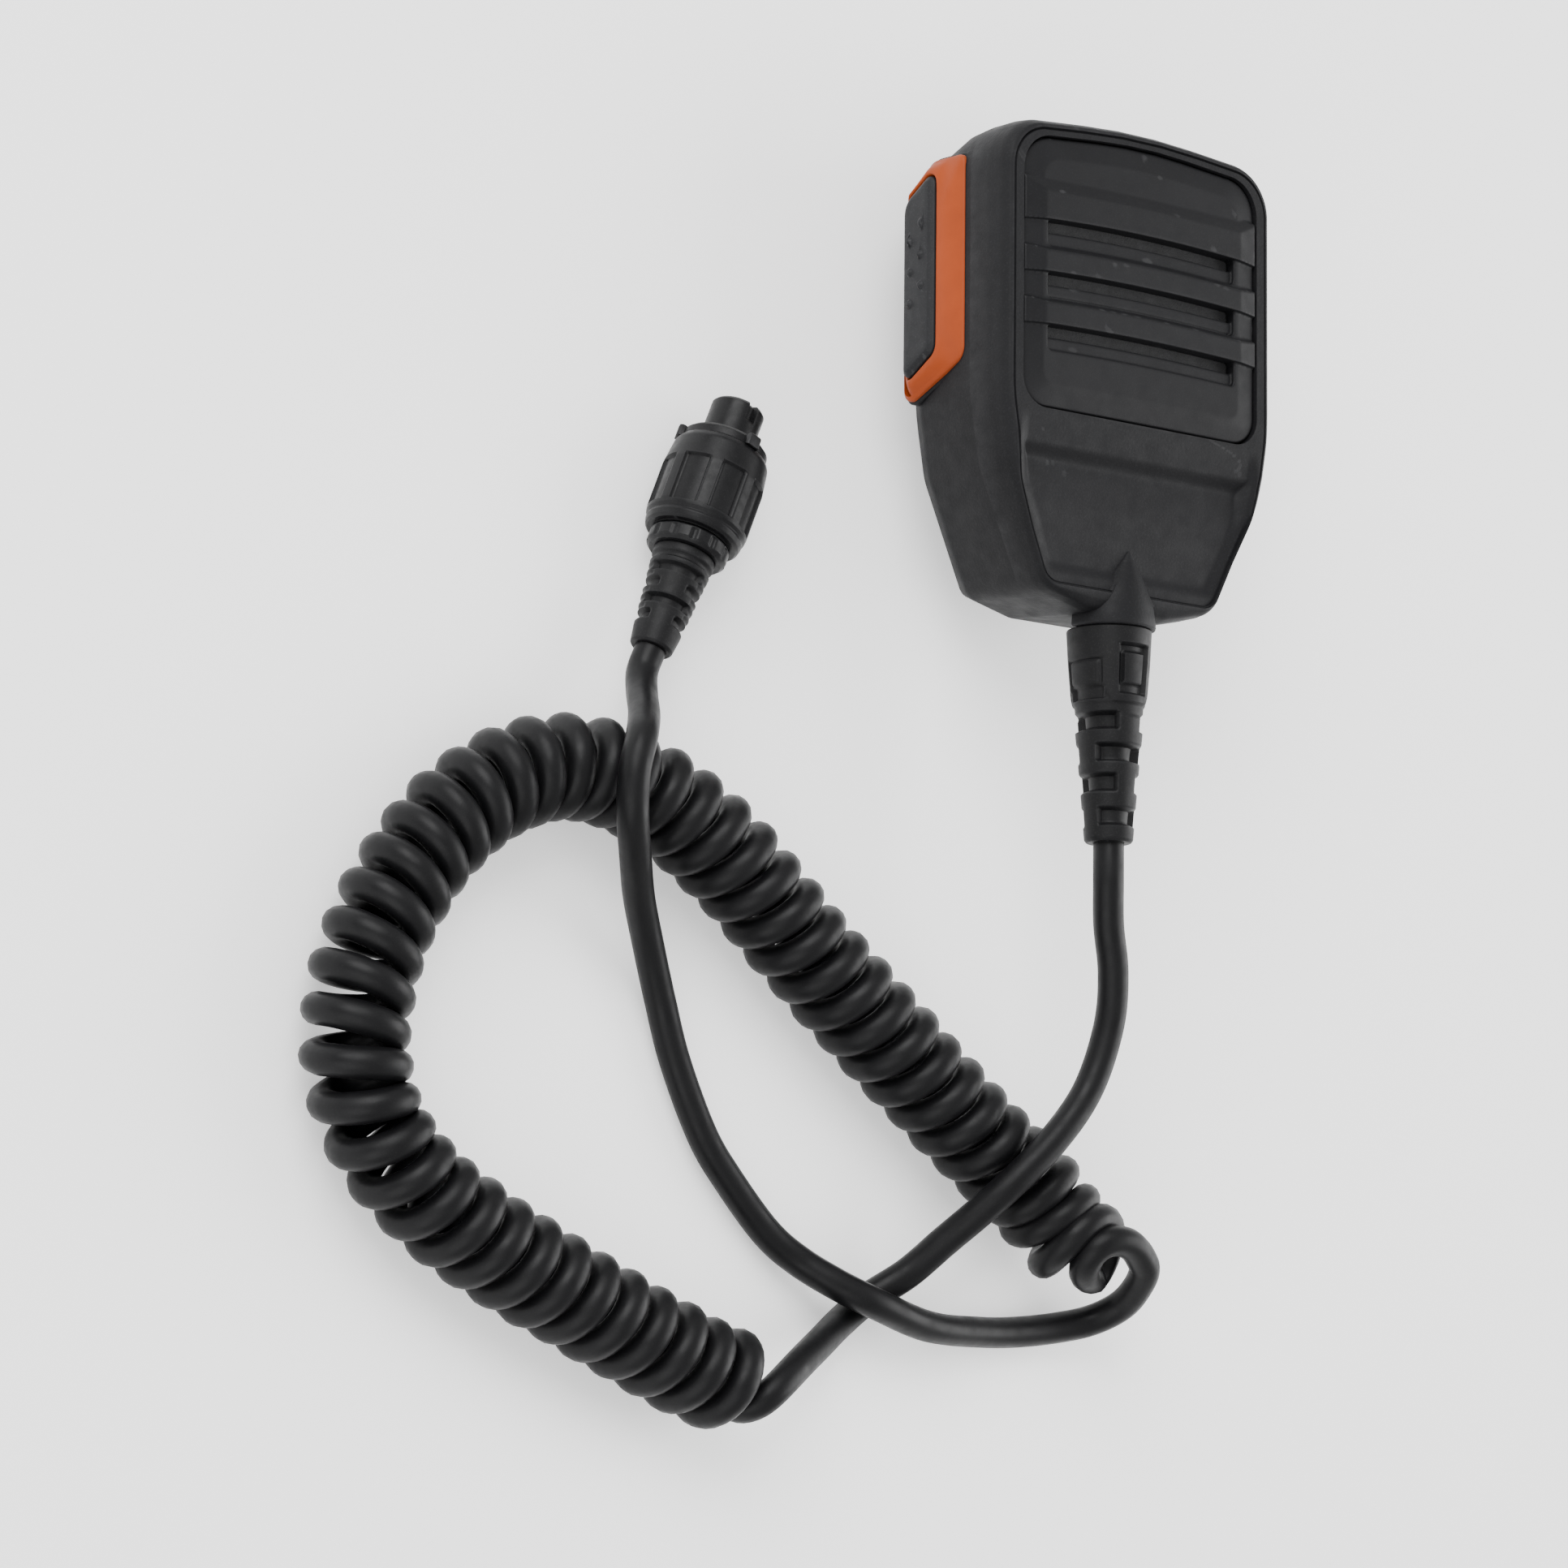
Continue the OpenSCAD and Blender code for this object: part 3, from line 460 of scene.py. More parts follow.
def ray_ring(points, centre, count):
    """Where evenly turned rays from a centre meet an anticlockwise outline round it."""
    p = np.array(points) - centre
    q = np.roll(p, -1, axis=0)
    ring = []
    for k in range(count):
        angle = 2 * math.pi * k / count
        direction = np.array((math.cos(angle), math.sin(angle)))
        side_p = direction[0] * p[:, 1] - direction[1] * p[:, 0]
        side_q = direction[0] * q[:, 1] - direction[1] * q[:, 0]
        i = np.nonzero((side_p <= 0) & (side_q > 0))[0][0]
        share = side_p[i] / (side_p[i] - side_q[i])
        ring.append(tuple(p[i] + share * (q[i] - p[i]) + centre))
    return ring


def depth_inside(places, points):
    """How far inside a closed outline each place is, in millimetres; negative outside."""
    a = np.array(points)
    b = np.roll(a, -1, axis=0)
    edge = b - a
    to = places[:, None, :] - a[None, :, :]
    share = np.clip((to * edge).sum(2) / (edge * edge).sum(1), 0, 1)
    gap = np.linalg.norm(to - share[:, :, None] * edge, axis=2).min(axis=1)
    crossing = (a[None, :, 1] > places[:, None, 1]) != (b[None, :, 1] > places[:, None, 1])
    height = np.where(np.abs(edge[:, 1]) < 1e-9, 1e-9, edge[:, 1])
    at = a[None, :, 0] + (places[:, None, 1] - a[None, :, 1]) * edge[None, :, 0] / height[None, :]
    is_in = (crossing & (places[:, None, 0] < at)).sum(axis=1) % 2 == 1
    return np.where(is_in, gap, -gap)


def ease(value):
    """0 to 1 with soft ends."""
    value = np.clip(value, 0, 1)
    return value * value * (3 - 2 * value)


def make_mesh(name, points, faces):
    mesh = bpy.data.meshes.new(name)
    mesh.from_pydata([tuple(c * MM for c in p) for p in points], [], faces)
    shape = bmesh.new()
    shape.from_mesh(mesh)
    bmesh.ops.remove_doubles(shape, verts=shape.verts, dist=1e-7)
    bmesh.ops.recalc_face_normals(shape, faces=shape.faces)
    shape.to_mesh(mesh)
    shape.free()
    obj = bpy.data.objects.new(name, mesh)
    bpy.context.scene.collection.objects.link(obj)
    return obj


def skin(name, rings, is_loop=False):
    """Mesh through rings of equal length. Its ends are closed, or the last ring joins the first."""
    n, m = len(rings[0]), len(rings)
    faces = []
    for i in range(m if is_loop else m - 1):
        a, b = i * n, (i + 1) % m * n
        faces += [(a + k, a + (k + 1) % n, b + (k + 1) % n, b + k) for k in range(n)]
    if not is_loop:
        faces += [tuple(range(n))[::-1], tuple(range((m - 1) * n, m * n))]
    return make_mesh(name, [p for ring in rings for p in ring], faces)


def slab(name, levels):
    """Solid through flat outlines: levels are (corners, inset, z)."""
    return skin(name, [[(x, y, z) for x, y in rounded(inset(corners, d))] for corners, d, z in levels])


def turned(name, profile, place, around=96, relief=None):
    """Solid of revolution through [s, radius] points. relief(s, angle) is taken off the radius."""
    rings = []
    for s, radius in profile:
        ring = []
        for k in range(around):
            angle = 2 * math.pi * k / around
            r = max(radius - (relief(s, angle) if relief and radius > 0.5 else 0), 0.01)
            ring.append(place(r * math.cos(angle), r * math.sin(angle), s))
        rings.append(ring)
    return skin(name, rings)


def dense(points, step):
    """The same line with extra points, so that no gap is longer than step."""
    result = [points[0]]
    for a, b in zip(points, points[1:]):
        pieces = max(1, math.ceil(math.dist(a, b) / step))
        result += [(a[0] + (b[0] - a[0]) * k / pieces, a[1] + (b[1] - a[1]) * k / pieces)
                   for k in range(1, pieces + 1)]
    return result


def bake(obj):
    """Replaces the mesh by what its modifiers make of it."""
    graph = bpy.context.evaluated_depsgraph_get()
    mesh = bpy.data.meshes.new_from_object(obj.evaluated_get(graph))
    obj.modifiers.clear()
    obj.data = mesh


def cut(obj, *cutters, operation="DIFFERENCE"):
    for cutter in cutters:
        modifier = obj.modifiers.new("cut", "BOOLEAN")
        modifier.operation = operation
        modifier.solver = "EXACT"
        modifier.object = cutter
        bake(obj)
        bpy.data.objects.remove(cutter)
    return obj


def soften(obj, voxel, passes=6, keep=0.35):
    """Moulded look: rebuilds the mesh evenly, rounds its edges a little and thins it out."""
    remesh = obj.modifiers.new("remesh", "REMESH")
    remesh.mode = "VOXEL"
    remesh.voxel_size = voxel * MM
    smooth = obj.modifiers.new("smooth", "SMOOTH")
    smooth.factor = 0.5
    smooth.iterations = passes
    thin = obj.modifiers.new("thin", "DECIMATE")
    thin.ratio = keep
    bake(obj)
    return obj


def settle(obj, body, slot, paints, *nodes, sharp=None):
    """Rides on its body, takes its finish and stands for its CAD nodes."""
    obj.data.shade_smooth()
    if sharp:
        obj.data.set_sharp_from_angle(angle=math.radians(sharp))
    obj.data.materials.clear()
    obj.data.materials.append(paints[slot])
    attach(obj, body)
    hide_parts(*nodes)
    return obj


# ---------- Casing ----------

HALF_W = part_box("shell_seal")[1].x / MM + 0.5
SEAL_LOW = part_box("rear_shell")[1].z / MM
SEAL_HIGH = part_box("front_shell")[0].z / MM
BACK_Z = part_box("rear_shell")[0].z / MM
FRONT_Z = 38.1
CEILING_Z = FRONT_Z - 5
LEDGE_Z = FRONT_Z - 2.3
WALL = 2.0
LEDGE_WIDTH = 2.4  # of the ledge that carries the grille panel
LIP = 0.3  # the lips on both sides of the parting line: height and width
LIP_WIDTH = 0.45
SCREWS = ((22.2, 33.4), (-22.2, 33.4), (16.8, -33.4), (-16.8, -33.4))
BOTTOM_Y = -45.0
CORD_Z = LEAD_MIC_ROUTE[0][2] / MM
CASING_RAYS = 640
CASING_CENTRE = (0, 5)
BODY = [[9, BOTTOM_Y + 0.6, 1.5], [19.8, -41.8, 5], [29.2, -21, 14], [HALF_W, -8, 50], [HALF_W, 40.1, 9],
        [0, 42.7, 150], [-HALF_W, 40.1, 9], [-HALF_W, -8, 50], [-29.2, -21, 14], [-19.8, -41.8, 5],
        [-9, BOTTOM_Y + 0.6, 1.5]]
BACK = [[x, y, 15 if radius == 9 else radius] for x, y, radius in BODY]
SHOULDER = [[19.4, -41.0, 4], [27.2, -24, 12], [29.7, -9, 30], [29.7, 38.2, 8], [0, 40.9, 150],
            [-29.7, 38.2, 8], [-29.7, -9, 30], [-27.2, -24, 12], [-19.4, -41.0, 4]]
PANEL = [[27.2, -10.8, 5], [27.2, 36.7, 6.5], [0, 39.1, 120], [-27.2, 36.7, 6.5], [-27.2, -10.8, 5]]
FIELD = [[22.9, -6.8, 2.4], [22.9, 33.2, 4], [0, 35.0, 120], [-22.9, 33.2, 4], [-22.9, -6.8, 2.4]]
CHIN = [[19.6, -39.2, 3], [26.2, -24, 8], [26.9, -16.6, 1.2], [-26.9, -16.6, 1.2], [-26.2, -24, 8],
        [-19.6, -39.2, 3]]
CHIN_FLOOR_Z = 35.1


def casing_ring(corners, distance=0.0):
    return ray_ring(rounded(inset(corners, distance)), CASING_CENTRE, CASING_RAYS)


def at_height(ring, z):
    return [(x, y, z) for x, y in ring]


def between(ring_a, ring_b, share):
    return [(a[0] + (b[0] - a[0]) * share, a[1] + (b[1] - a[1]) * share) for a, b in zip(ring_a, ring_b)]


def fall(y):
    """How far the front has fallen at y, on its way from the grille to the cord."""
    return np.interp(-y, (16, 20, 32, 40), (0, 0.4, 2.1, 2.6))


def fallen(points):
    """Lowers the front by its fall. The side wall, from z = 31 up, takes up the difference."""
    result = []
    for x, y, z in points:
        share = min(max((z - 31) / (FRONT_Z - 31), 0), 1)
        result.append((x, y, z - float(fall(y)) * share))
    return result


def chin_depth(places):
    """How far the chin field and the ledge above it lie below the front."""
    x, y = places[:, 0], places[:, 1]
    ledge = 0.8 * ease((-11.4 - y) / 5.0) * ease((28.0 - abs(x)) / 2.5)
    inside = np.minimum(depth_inside(places, rounded(CHIN)), 0.8 * (-16.6 - y))
    floor = FRONT_Z - fall(y) - CHIN_FLOOR_Z + 0.14 * np.clip(-27 - y, 0, None)
    return ledge + (floor - ledge) * ease(inside / 2.6)


def front_shell(paints):
    outer, shoulder, recess = casing_ring(BODY), casing_ring(SHOULDER), casing_ring(PANEL, -0.28)
    side = rounded([[0, SEAL_HIGH - LIP, 0], [0.05, 33.4, 5], [0.6, 36.4, 3.0], [1.9, 37.8, 1.4],
                    [3.0, FRONT_Z, 0]], is_closed=False, arc=9)
    rings = [at_height(between(outer, shoulder, d / 3.0), z) for d, z in side]
    for share, drop in ((0.06, 0.14), (0.13, 0.42), (0.26, 0.5), (0.36, 0.42), (0.43, 0.14)):
        rings.append(at_height(casing_ring(SHOULDER, share), FRONT_Z - drop))
    plate = casing_ring(SHOULDER, 0.5)
    steps = 64
    for k in range(steps + 1):
        flat = np.array(between(plate, recess, k / steps))
        rings.append([(x, y, FRONT_Z - depth) for (x, y), depth in zip(flat, chin_depth(flat))])
    lip = [(x, y, min(z, FRONT_Z) - 0.12) for x, y, z in rings[-1]]
    rings = [fallen(ring) for ring in rings]
    rings += [[(x * 0.998, y, z) for x, y, z in lip], at_height(recess, LEDGE_Z)]
    for corners, distance, z in ((PANEL, LEDGE_WIDTH, LEDGE_Z), (PANEL, LEDGE_WIDTH, CEILING_Z),
                                 (BODY, WALL, CEILING_Z), (BODY, WALL, SEAL_HIGH),
                                 (BODY, LIP_WIDTH, SEAL_HIGH), (BODY, LIP_WIDTH, SEAL_HIGH - LIP)):
        rings.append(at_height(casing_ring(corners, distance), z))
    shell = skin("front_casing", rings, is_loop=True)
    cut(shell, neck("front_neck", SEAL_HIGH, 60), operation="UNION")
    cut(shell, *boot_room())
    return settle(shell, "casing", "casing_plastic", paints, "front_shell", sharp=50)


def block(name, low, high):
    """Plain cutter between two corners."""
    corners = [[low[0], low[1], 0], [high[0], low[1], 0], [high[0], high[1], 0], [low[0], high[1], 0]]
    return skin(name, [[(x, y, z) for x, y, _ in corners] for z in (low[2], high[2])])


def along_cord(x, v, s):
    """Places a shape round the cord's axis, with s running away from the casing, from its bottom."""
    return x, BOTTOM_Y - s, CORD_Z + v


def neck(name, low, high):
    """Fairing from the chin to the cord boot, between two heights."""
    rings = []
    for y, z, r in ((-33.0, 34.7, 0.25), (-35.6, 33.1, 2.6), (-38.7, 31.5, 5.1), (-41.5, 30.1, 7.2),
                    (-42.8, CORD_Z, 7.85), (-44.2, CORD_Z, 8.0), (-45.9, CORD_Z, 8.2),
                    (-46.25, CORD_Z, 8.1), (-46.4, CORD_Z, 7.8)):
        rings.append([(r * math.cos(a), y, z + r * math.sin(a))
                      for a in (2 * math.pi * k / 96 for k in range(96))])
    shape = skin(name, rings)
    return cut(shape, block("below", (-20, -60, -10), (20, -20, low)),
               block("above", (-20, -60, high), (20, -20, 80)),
               block("room", (-12.6, -40.9, 5), (12.6, -28, CEILING_Z - 0.05)))


def boot_room():
    """Cutters for the cord boot: the hole, the groove for its flange and room for its tail."""
    return [turned("hole", [[s, r] for s in ends], along_cord)
            for r, ends in ((5.45, (-3, 6)), (6.7, (-4.1, -1.9)), (3.1, (-9, -3)))]


def on_grip(x):
    """Places [y, z] outlines on the talk side, with their height towards -X."""
    return lambda y, z, height: (x - height, y, z)


def grip_slab(name, x, levels):
    place = on_grip(x)
    return skin(name, [[place(y, z, w) for y, z in rounded(inset(corners, d))] for corners, d, w in levels])


def rear_shell(paints):
    inner = rounded([[8, BACK_Z + WALL, 0], [4.4, BACK_Z + WALL, 1.5], [3.2, 14, 4], [WALL, SEAL_LOW, 0]],
                    is_closed=False, arc=15)
    outer = rounded([[0, SEAL_LOW, 0], [0.4, 24, 8], [1.4, 13.4, 4], [2.9, 10.2, 2.4], [5.4, BACK_Z, 2.4],
                     [9, BACK_Z, 0]], is_closed=False, arc=9)
    seam = [(LIP_WIDTH, SEAL_LOW), (LIP_WIDTH, SEAL_LOW + LIP), (0, SEAL_LOW + LIP)]
    rings = []
    for d, z in inner + seam + outer:
        backness = min(max((24 - z) / 10.6, 0), 1)
        rings.append(at_height(between(casing_ring(BODY, d), casing_ring(BACK, d), backness), z))
    shell = skin("rear_casing", rings)
    seat = grip_slab("seat", STOP_X, [(BEZEL, -0.5, 0), (BEZEL, -0.5, 2.3), (BEZEL, -0.35, 2.5),
                                      (BEZEL, -0.1, 2.6)])
    cut(shell, seat, neck("rear_neck", -10, SEAL_LOW), operation="UNION")
    cut(shell, *boot_room())
    cut(shell, grip_slab("opening", STOP_X + 4, [(PAD, -PTT_GAP, 0), (PAD, -PTT_GAP, 12)]),
        grip_slab("flange_room", STOP_X + 2.6, [(PAD, -1.6, 0), (PAD, -1.6, 2.6)]))
    for x, y in SCREWS:
        recess = turned("recess", [[8, 2.6], [14, 2.6]], lambda u, v, s, x=x, y=y: (x + u, y + v, s))
        cut(shell, recess)
    cut(shell, turned("button_hole", [[8, 2.1], [12, 2.1]], lambda u, v, s: (u, v, s)))
    return settle(shell, "casing", "casing_plastic", paints, "rear_shell", sharp=40)


# ---------- Grille ----------

SLAT_BOTTOMS = (22.0, 12.75, 3.5)
SLAT_TOPS = ((29.8, 27.2), (17.4, 16.5), (8.15, 7.25))  # foot and edge of each slat's upper slope
BASE_Z = 38.1
SLAT_Z = 38.9
WINDOW_HALF = 21.9


def bar(name, outline, half):
    """Solid along X with a [y, z] outline."""
    return skin(name, [[(x, y, z) for y, z in outline] for x in (-half, half)])


def grille_panel(paints):
    outer, field = casing_ring(PANEL), casing_ring(FIELD)
    panel = skin("grille", [at_height(outer, LEDGE_Z + 0.1), at_height(outer, BASE_Z - 0.9),
                            at_height(between(outer, field, 0.06), BASE_Z - 0.6), at_height(field, BASE_Z)])
    for bottom, (foot, edge) in zip(SLAT_BOTTOMS, SLAT_TOPS):
        slat = skin("slat", [at_height(outer, BASE_Z - 2), at_height(outer, BASE_Z - 0.3),
                             at_height(between(outer, field, 0.05), BASE_Z), at_height(field, SLAT_Z)])
        band = bar("band", [(bottom, BASE_Z - 2.2), (foot, BASE_Z - 2.2), (foot, BASE_Z - 0.2),
                            (edge, SLAT_Z + 0.02), (edge, 42), (bottom, 42)], 40)
        cut(slat, band, operation="INTERSECT")
        cut(panel, slat, operation="UNION")
    for i, top in enumerate(SLAT_BOTTOMS):
        low = SLAT_TOPS[i + 1][0] if i < 2 else -0.95
        window = [[-WINDOW_HALF, low, 1.0], [WINDOW_HALF, low, 1.0], [WINDOW_HALF, top, 0.4],
                  [-WINDOW_HALF, top, 0.4]]
        slit = [[-WINDOW_HALF, top - 2.1, 0.5], [WINDOW_HALF, top - 2.1, 0.5], [WINDOW_HALF, top, 0.4],
                [-WINDOW_HALF, top, 0.4]]
        cut(panel, slab("window", [(window, 0, BASE_Z - 0.75), (window, 0, BASE_Z + 0.01)]),
            slab("slit", [(slit, 0, LEDGE_Z - 1), (slit, 0, BASE_Z)]))
        if i > 0:
            cut(panel, block("crease", (0.6 - WINDOW_HALF, low + 0.02, BASE_Z - 1.5),
                             (WINDOW_HALF - 0.6, low + 0.42, BASE_Z)))
    soften(panel, 0.2, passes=4, keep=0.3)
    for vertex in panel.data.vertices:  # the slats bow upwards in the middle
        x, y = vertex.co.x / MM, vertex.co.y / MM
        bow = float(np.interp(y, (-10, -1, 22, 36), (0.1, 0.6, 1.0, 0)))
        vertex.co.y += MM * bow * (1 - (x / PANEL[0][0]) ** 2)
    return settle(panel, "casing", "panel_plastic", paints, "grille_panel")


# ---------- Talk button ----------

SEAT_X = -HALF_W + 0.6
STOP_X = -HALF_W + 3.2
PAD_FACE_X = -34.2
PAD_DEPTH = 7.1
PTT_GAP = 0.35
GRIP_CENTRE = (13, 17)
GRIP_RAYS = 360
BEZEL = [[-1.4, 26.9, 3], [-8.2, 10.9, 2], [28, 10.9, 4], [35, 18.5, 3], [34.8, 26.9, 1.5]]
PAD = [[0.4, 20.8, 2.4], [-4.4, 12.6, 1.4], [28, 12.6, 4], [33, 20.8, 1.5]]


def grip_ring(corners, distance=0.0):
    return ray_ring(rounded(inset(corners, distance)), GRIP_CENTRE, GRIP_RAYS)


def on_side(ring, x):
    return [(x, y, z) for y, z in ring]


def ptt_bezel(paints):
    """Orange rim: a low wall outside, a broad slope up to the pad's gap, and a wall inside.

    Towards the back of the casing the slope is lower, so that the pad stands clear of it.
    """
    outer, edge = grip_ring(BEZEL), grip_ring(BEZEL, 0.5)
    brim, gap = grip_ring(PAD, -PTT_GAP - 0.35), grip_ring(PAD, -PTT_GAP)
    rings = [on_side(outer, SEAT_X), on_side(outer, SEAT_X - 0.55),
             on_side(between(outer, edge, 0.25), SEAT_X - 0.78), on_side(edge, SEAT_X - 0.95)]
    for k in range(1, 12):
        share = k / 12
        rise = 0.95 + 1.4 * math.sin(share * math.pi / 2)
        rings.append(on_side(between(edge, brim, share), SEAT_X - rise))
    rings += [on_side(brim, SEAT_X - 2.38), on_side(between(brim, gap, 0.6), SEAT_X - 2.3),
              on_side(gap, SEAT_X - 2.1), on_side(gap, SEAT_X)]
    rings = [[(x + 1.1 * float(ease((14 - z) / 2)) * (x < SEAT_X - 1.2), y, z) for x, y, z in ring]
             for ring in rings]
    rim = skin("talk_rim", rings, is_loop=True)
    return settle(rim, "casing", "orange_plastic", paints, "ptt_bezel", sharp=60)


def ptt_button(paints):
    """Rubber pad with a flange and stem inside, a bevelled edge and six grip dots."""
    stem = [(GRIP_CENTRE[0] + 1.6 * math.cos(a), GRIP_CENTRE[1] + 1.6 * math.sin(a))
            for a in (2 * math.pi * k / GRIP_RAYS for k in range(GRIP_RAYS))]
    wall, flange = grip_ring(PAD), grip_ring(PAD, -1.2)
    base = PAD_FACE_X + PAD_DEPTH
    rings = [on_side(stem, STOP_X + 2.25), on_side(stem, base), on_side(wall, base),
             on_side(wall, STOP_X + 1.05), on_side(flange, STOP_X + 1.05), on_side(flange, STOP_X + 0.05),
             on_side(wall, STOP_X + 0.05)]
    edge = rounded([[0, PAD_DEPTH - 1.5, 0], [0, PAD_DEPTH - 1, 0.6], [0.95, PAD_DEPTH - 0.25, 0.7],
                    [1.6, PAD_DEPTH - 0.17, 0]], is_closed=False, arc=12)
    rings += [on_side(grip_ring(PAD, d), base - w) for d, w in edge]
    rim, steps = np.array(grip_ring(PAD, 1.6)), 56
    dots = [(23.6 - 5.6 * i - 2.9 * row, 18.1 - 2.9 * row) for i in range(3) for row in range(2)]
    for k in range(1, steps):
        share = k / steps
        flat = rim + (np.array(GRIP_CENTRE) - rim) * share
        height = PAD_DEPTH - 0.17 + 0.12 * math.sin(share * math.pi / 2)
        lift = np.zeros(len(flat))
        for dot in dots:
            away = np.hypot((flat[:, 0] - dot[0]) / 0.95, (flat[:, 1] - dot[1]) / 0.8)
            lift = np.maximum(lift, 0.55 * ease(1.35 * (1 - away)))
        rings.append([(base - height - up, y, z) for (y, z), up in zip(flat, lift)])
    pad = skin("talk_pad", rings)
    return settle(pad, "talk_button", "talk_rubber", paints, "ptt_button", sharp=60)


# ---------- Cord boot ----------

def near(value, centre, half, soft):
    """1 within half of the centre, falling to 0 over soft."""
    return float(ease((half + soft - abs(value - centre)) / soft))


def turn_gap(angle, facing):
    """How far an angle is from the way a detail faces, in degrees."""
    return abs((math.degrees(angle) - facing + 180) % 360 - 180)


def boot_relief(s, angle):
    """Depth of the slots, the latch pocket, the side recess and the lower part of the sleeve."""
    s = s - 1.5
    deep = 0.0
    for centre, depth, facing in ((16.5, 2.0, 0), (22.1, 1.9, 90), (27.3, 1.6, 0), (33.2, 1.3, 90)):
        gap = min(turn_gap(angle, facing), turn_gap(angle, facing + 180))
        deep = max(deep, depth * near(s, centre, 1.0, 0.75) * near(gap, 0, 62, 6))
    front = min(turn_gap(angle, 90), turn_gap(angle, 270))
    side = min(turn_gap(angle, 175), turn_gap(angle, 355))
    frame_depth = near(s, 7.5, 4.1, 0.35) * near(front, 0, 24, 3)
    island = near(s, 7.4, 2.6, 0.35) * near(front, 0, 18, 3)
    deep = max(deep, 1.0 * frame_depth - 0.65 * island)
    patch = near(s, 8.2, 2.3, 0.3) * near(side, 0, 32, 3)
    core = near(s, 8.2, 1.8, 0.3) * near(side, 0, 27, 3)
    deep = max(deep, 0.45 * (patch - 0.7 * core), 1.0 * near(s, 11.7, 0.9, 0.4) * near(side, 0, 33, 4))
    sleeve_end = 13.2 - 2.4 * float(ease((front - 32) / 22))
    return max(deep, 0.28 * float(ease((s - sleeve_end) / 0.35)) * near(s, 12, 3.2, 0.8))


def cord_boot(paints):
    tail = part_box("cord_boot")[0].y / MM
    length = BOTTOM_Y - 1.5 - tail
    profile = [[-8.4, 0.01, 0], [-8.4, 2.9, 0], [-4, 2.9, 0], [-4, 6.6, 0.2], [-2, 6.6, 0.2], [-2, 5.4, 0],
               [1.5, 5.4, 0], [1.5, 7.4, 0.15], [1.7, 7.5, 0.1], [7.5, 7.2, 4], [14.8, 6.6, 0.5],
               [15.3, 6.3, 0.5], [20.3, 5.85, 3], [27.2, 5.2, 3], [30.9, 4.9, 3],
               [1.5 + length - 0.5, 4.3, 0.4], [1.5 + length, 3.9, 0.3], [1.5 + length, 0.01, 0]]
    line = dense(rounded(profile, is_closed=False, arc=15), 0.28)
    boot = turned("cord_sleeve", line, along_cord, around=144, relief=boot_relief)
    return settle(boot, "casing", "boot_rubber", paints, "cord_boot", sharp=50)


# ---------- Plug ----------

PLUG_TAIL = [c / MM for c in LEAD_PLUG_ROUTE[-1]]
PLUG_TURN = math.radians(22.5)
GRIP_PERIOD = 45.0
GRIP_FACING = -124.8


def on_plug(u, v, s):
    """Places a shape along the plug's axis, s from its tail."""
    sin, cos = math.sin(PLUG_TURN), math.cos(PLUG_TURN)
    return PLUG_TAIL[0] + u * cos + s * sin, PLUG_TAIL[1] - u * sin + s * cos, PLUG_TAIL[2] - v


def plug_boot_relief(s, angle):
    """Depth of the slots, the fine ribs between them and the groove at the wide end."""
    deep = 0.0
    for i, centre in enumerate((4.9, 7.9, 10.9, 13.9)):
        facing = GRIP_FACING + (0 if i % 2 else 90)
        gap = min(turn_gap(angle, facing), turn_gap(angle, facing + 180))
        deep = max(deep, 1.1 * near(s, centre, 0.55, 0.4) * near(gap, 0, 55, 7))
    ribs = 0.22 * (0.5 + 0.5 * math.cos(2 * math.pi * s / 1.55)) * near(s, 9.5, 4.8, 1.2)
    side = min(turn_gap(angle, GRIP_FACING - 90), turn_gap(angle, GRIP_FACING + 90))
    deep = max(deep, ribs * near(side, 0, 34, 8))
    return max(deep, 0.5 * near(s, 16.2, 0.35, 0.3))


def plug_boot(paints):
    profile = [[0, 0.01, 0], [0, 3.4, 0.2], [0.4, 3.75, 0.3], [3.2, 4.15, 2], [16.9, 5.4, 3],
               [18.2, 5.5, 0.1], [18.2, 4.4, 0], [20.6, 4.4, 0], [20.6, 0.01, 0]]
    line = dense(rounded(profile, is_closed=False, arc=15), 0.2)
    boot = turned("plug_sleeve", line, on_plug, around=128, relief=plug_boot_relief)
    return settle(boot, "casing", "boot_rubber", paints, "plug_boot", sharp=50)


def collar_relief(s, angle):
    """Twelve notches round the collar."""
    knurl = 0.5 + 0.5 * math.cos(12 * angle)
    return 0.35 * float(ease((knurl - 0.75) / 0.2)) * near(s, 19.9, 0.9, 0.2)


def plug_collar(paints):
    profile = [[18.3, 4.5, 0], [18.3, 6.4, 0.2], [19, 7.1, 0.4], [21, 7.1, 0.3], [21.4, 6.7, 0.2],
               [21.4, 4.5, 0]]
    line = dense(rounded(profile, is_closed=False, arc=15), 0.2)
    collar = tube("plug_nut", line, on_plug, 180, collar_relief)
    return settle(collar, "casing", "plug_plastic", paints, "plug_collar", sharp=50)


def tube(name, line, place, around, relief=None, skip=5.0):
    """Ring-shaped solid of revolution: the [s, radius] line closes on itself.

    The relief spares radii up to skip.
    """
    rings = []
    for s, radius in line:
        ring = []
        for k in range(around):
            angle = 2 * math.pi * k / around
            r = radius - (relief(s, angle) if relief and radius > skip else 0)
            ring.append(place(r * math.cos(angle), r * math.sin(angle), s))
        rings.append(ring)
    return skin(name, rings, is_loop=True)


def sleeve_relief(s, angle):
    """Eight flat grip panels between ribs."""
    gap = min(turn_gap(angle, GRIP_FACING + GRIP_PERIOD * (k + 0.5)) for k in range(8))
    return 0.62 * near(gap, 0, 14.2, 1.6) * near(s, 29.3, 4.3, 0.3)


